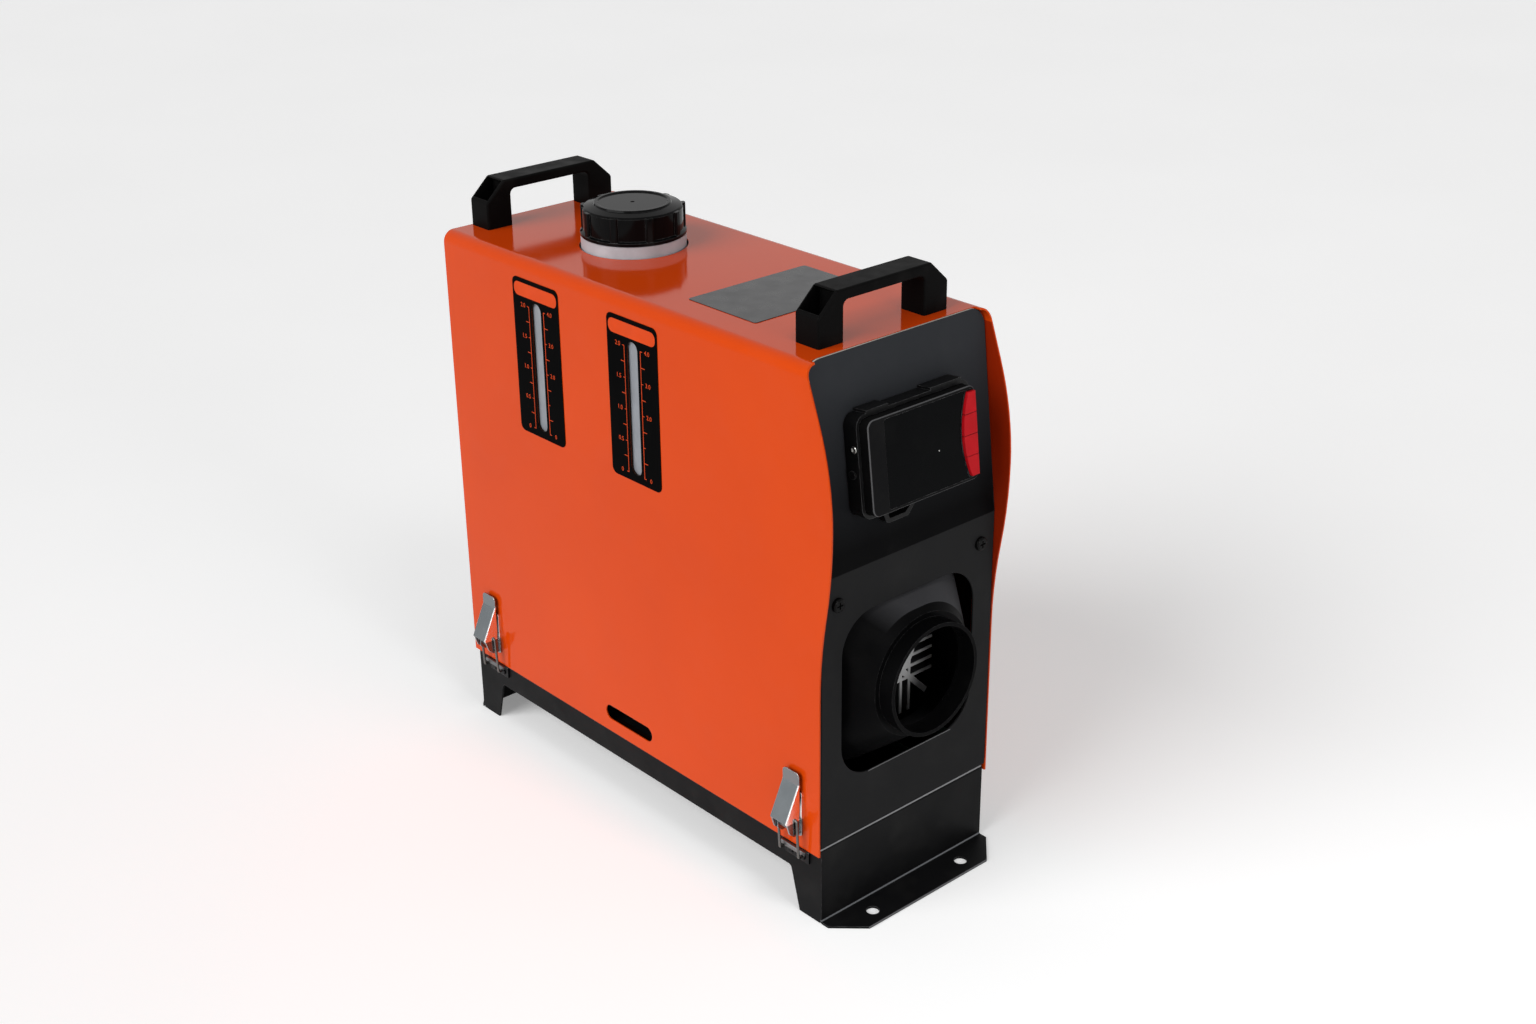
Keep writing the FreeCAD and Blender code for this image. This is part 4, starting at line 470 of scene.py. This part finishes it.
def lathe(bm, profile, matrix, steps):  # a profile of (radius, height) turned about the local z axis
    turns = [2 * math.pi * i / steps for i in range(steps)]
    rings = []
    for radius, height in profile:
        ring = [Vector((radius * math.cos(t), radius * math.sin(t), height)) for t in turns]
        rings.append([bm.verts.new(matrix @ point) for point in ring])
    for lower, upper in zip(rings, rings[1:]):
        for i in range(steps):
            j = (i + 1) % steps
            bm.faces.new((lower[i], lower[j], upper[j], upper[i]))
    bm.faces.new(rings[-1])
    bm.faces.new(list(reversed(rings[0])))


def meshFrom(name, bm):
    mesh = bpy.data.meshes.new(name)
    bm.normal_update()
    bm.to_mesh(mesh)
    bm.free()
    return mesh


def numberOn(bm, text, size, matrix, thick):  # a plain number as a thin mesh
    curve = bpy.data.curves.new("number", "FONT")
    curve.body = text
    curve.size = size
    curve.align_x = "CENTER"
    curve.align_y = "CENTER"
    curve.extrude = thick / 2
    curve.resolution_u = 3
    holder = added("number", curve)
    graph = bpy.context.evaluated_depsgraph_get()
    mesh = bpy.data.meshes.new_from_object(holder.evaluated_get(graph))
    mesh.transform(matrix @ Matrix.Translation((0, 0, thick / 2)))
    bm.from_mesh(mesh)
    bpy.data.objects.remove(holder)
    bpy.data.meshes.remove(mesh)


# Level scales on the left side: two lines with marks beside each window, and a bare pill above

scaleArt = {
    "faceX": -76.4 * mm, "lift": 0.06 * mm, "centres": windowMiddles,
    "lineLow": 256 * mm, "lineHigh": 341 * mm, "line": 0.45 * mm, "places": 9,
    "tick": 3.6 * mm, "stub": 1.6 * mm, "numberSize": 4.2 * mm, "numberOut": 6.4 * mm,
    "pillWide": 46 * mm, "pillTall": 9.4 * mm, "pillZ": 351.6 * mm, "pillRound": 4.2 * mm,
    "sides": [  # numbers from the bottom up, one at every other place
        {"at": -7.7 * mm, "way": -1, "numbers": ("0", "0.5", "1.0", "1.5", "2.0")},
        {"at": 8.3 * mm, "way": 1, "numbers": ("0", "", "2.0", "3.0", "4.0")},
    ],
}


def scaleFrame(centreY):  # flat axes on the left side: right is -Y, up is +Z
    return Matrix(((0, 0, -1, scaleArt["faceX"]), (-1, 0, 0, centreY), (0, 1, 0, 0), (0, 0, 0, 1)))


def scaleSide(bm, side, turn):  # one line with its ticks, stubs and numbers
    at, way, thick, half = side["at"], side["way"], scaleArt["lift"], scaleArt["line"] / 2
    low, high = scaleArt["lineLow"], scaleArt["lineHigh"]
    step = (high - low) / (scaleArt["places"] - 1)
    slabOn(bm, bar(at - half, at + half, low - half, high + half), turn, thick)
    for i in range(scaleArt["places"]):
        z = low + i * step
        length = scaleArt["stub"] if i % 2 == 0 else scaleArt["tick"]
        ends = sorted((at + way * half, at + way * (half + length)))
        slabOn(bm, bar(ends[0], ends[1], z - half, z + half), turn, thick)
        if i % 2 == 0 and side["numbers"][i // 2]:
            spot = Matrix.Translation((at + way * scaleArt["numberOut"], z, 0))
            numberOn(bm, side["numbers"][i // 2], scaleArt["numberSize"], turn @ spot, thick)


for index, centreY in enumerate(scaleArt["centres"]):
    turn = scaleFrame(centreY)
    bm = bmesh.new()
    for side in scaleArt["sides"]:
        scaleSide(bm, side, turn)
    shown("scaleMarks%d" % index, meshFrom("scaleMarks", bm), "printOrange", "case")
    bm = bmesh.new()
    halfWide, halfTall = scaleArt["pillWide"] / 2, scaleArt["pillTall"] / 2
    pill = roundRect(-halfWide, halfWide, scaleArt["pillZ"] - halfTall, scaleArt["pillZ"] + halfTall,
                     scaleArt["pillRound"])
    slabOn(bm, pill, turn, scaleArt["lift"])
    shown("scalePill%d" % index, meshFrom("scalePill", bm), "printOrange", "case")
print("level scales drawn")

# Controller trim, in the leaning panel's own axes: across, out of the panel, up from its crease

cradleScrew = {  # its head points left, out of the cradle's side
    "across": -48.1 * mm, "out": 8.0 * mm, "up": 75.5 * mm, "axis": "Y", "turn": -90, "steps": 28,
    "profile": [(2.3 * mm, 0), (2.3 * mm, 0.5 * mm), (1.9 * mm, 0.8 * mm), (1.3 * mm, 0.8 * mm),
                (1.1 * mm, 0.2 * mm)],
}
faceDot = {  # a small bright metal dot; it points straight out of the controller's face
    "across": 10.5 * mm, "out": 18.0 * mm, "up": 60.5 * mm, "axis": "X", "turn": 90, "steps": 16,
    "profile": [(0.5 * mm, 0), (0.47 * mm, 0.06 * mm), (0.34 * mm, 0.12 * mm), (0.15 * mm, 0.15 * mm)],
}


def leanFrame(across, out, up):
    turn = Matrix.Rotation(-leanPlane["lean"], 4, "X")
    base = Matrix.Translation((0, leanPlane["front"], leanPlane["crease"]))
    return base @ turn @ Matrix.Translation((across, -out, up))


for name, trim in (("cradleScrew", cradleScrew), ("faceDot", faceDot)):
    bm = bmesh.new()
    spin = Matrix.Rotation(math.radians(trim["turn"]), 4, trim["axis"])
    lathe(bm, trim["profile"], leanFrame(trim["across"], trim["out"], trim["up"]) @ spin, trim["steps"])
    shown(name, meshFrom(name, bm), "brightZinc", "case")
print("controller trimmed")

# Pump spring: a copy of the CAD coil, shown in place of the CAD piece

springCoil = {"node": "pump_spring", "joint": "pump_stroke", "stroke": 2.5 * mm}
coilMesh = cad[springCoil["node"]].data.copy()
coilMesh.materials.clear()
coil = shown("springCoil", coilMesh, "dullSteel", "case")
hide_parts(springCoil["node"])
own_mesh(coil)
print("pump spring seated")

# Camera from the photograph's viewpoint

viewpoint = {
    "place": (-0.78548, -0.93690, 0.76006), "aim": (-0.058349, -0.122091, 0.259569), "roll": -0.561,
    "lens": 46.80, "sensor": 36, "near": 0.05,
}


def aimed(place, aim):  # stands at place and looks at aim
    away = Vector(aim) - Vector(place)
    return Matrix.Translation(Vector(place)) @ away.to_track_quat("-Z", "Y").to_matrix().to_4x4()


camera = added("camera", bpy.data.cameras.new("camera"))
bpy.context.scene.camera = camera
camera.data.sensor_width = viewpoint["sensor"]
camera.data.lens = viewpoint["lens"]
camera.data.clip_start = viewpoint["near"]
roll = Matrix.Rotation(math.radians(viewpoint["roll"]), 4, "Z")
camera.matrix_world = aimed(viewpoint["place"], viewpoint["aim"]) @ roll

# Floor and light: a broad soft light from the left, a pale room all round and two small cards

studio = {
    "world": (1.0, 1.0, 1.0), "worldPower": 0.25, "wallPower": 0.80,
    "floorHalf": 20, "floorCells": 8, "floorDrop": 0.2 * mm, "floorLift": 0.24,
    "sun": {"from": (-0.87, 0.10, 0.48), "power": 2.6, "angle": 50},
    "cards": [
        {"name": "frontCard", "place": (-0.10, -1.75, 0.62), "aim": (0, -0.2, 0.16), "wide": 0.7, "tall": 0.7,
         "power": 10},
        {"name": "topCard", "place": (-0.25, -0.75, 1.55), "aim": (0, 0, 0.37), "wide": 0.35, "tall": 0.35,
         "power": 2.6},
    ],
}
floorLook = {
    "tone": (0.90, 0.90, 0.90), "deep": (0.88, 0.88, 0.88), "mottle": 3,
    "rough": 0.7, "roughSpread": 0.05, "grain": 300, "bump": 0.02, "spec": 0.1, "dust": 0.0,
}
bm = bmesh.new()
cells = studio["floorCells"]
bmesh.ops.create_grid(bm, x_segments=cells, y_segments=cells, size=studio["floorHalf"])
floor = added("floor", meshFrom("floor", bm))
floorPaint = surface("floorPaint", floorLook)
floor.data.materials.append(floorPaint)
floor.location.z = -studio["floorDrop"]


def seenDirectly(tree):  # 1 for what the camera sees, straight or in a reflection
    path = tree.nodes.new("ShaderNodeLightPath")
    mirrored = combined(tree, "MAXIMUM", path.outputs["Is Glossy Ray"], path.outputs["Is Transmission Ray"])
    return combined(tree, "MAXIMUM", path.outputs["Is Camera Ray"], mirrored)


floorTree = floorPaint.node_tree
floorShader = floorTree.nodes["Principled BSDF"]
floorShader.inputs["Emission Color"].default_value = (1, 1, 1, 1)
lift = ranged(floorTree, seenDirectly(floorTree), 0, 1, 0, studio["floorLift"])
floorTree.links.new(lift, floorShader.inputs["Emission Strength"])

world = bpy.data.worlds.new("studio")
bpy.context.scene.world = world
world.use_nodes = True
sky = world.node_tree.nodes["Background"]
sky.inputs["Color"].default_value = studio["world"] + (1,)
glow = ranged(world.node_tree, seenDirectly(world.node_tree), 0, 1, studio["worldPower"], studio["wallPower"])
world.node_tree.links.new(glow, sky.inputs["Strength"])

sunData = bpy.data.lights.new("sun", "SUN")
sunData.energy = studio["sun"]["power"]
sunData.angle = math.radians(studio["sun"]["angle"])
sun = added("sun", sunData)
sun.matrix_world = (-Vector(studio["sun"]["from"])).to_track_quat("-Z", "Y").to_matrix().to_4x4()
for card in studio["cards"]:
    data = bpy.data.lights.new(card["name"], "AREA")
    data.shape = "RECTANGLE"
    data.size = card["wide"]
    data.size_y = card["tall"]
    data.energy = card["power"]
    light = added(card["name"], data)
    light.matrix_world = aimed(card["place"], card["aim"])
bpy.context.scene.view_settings.view_transform = "Standard"
print("studio lit")
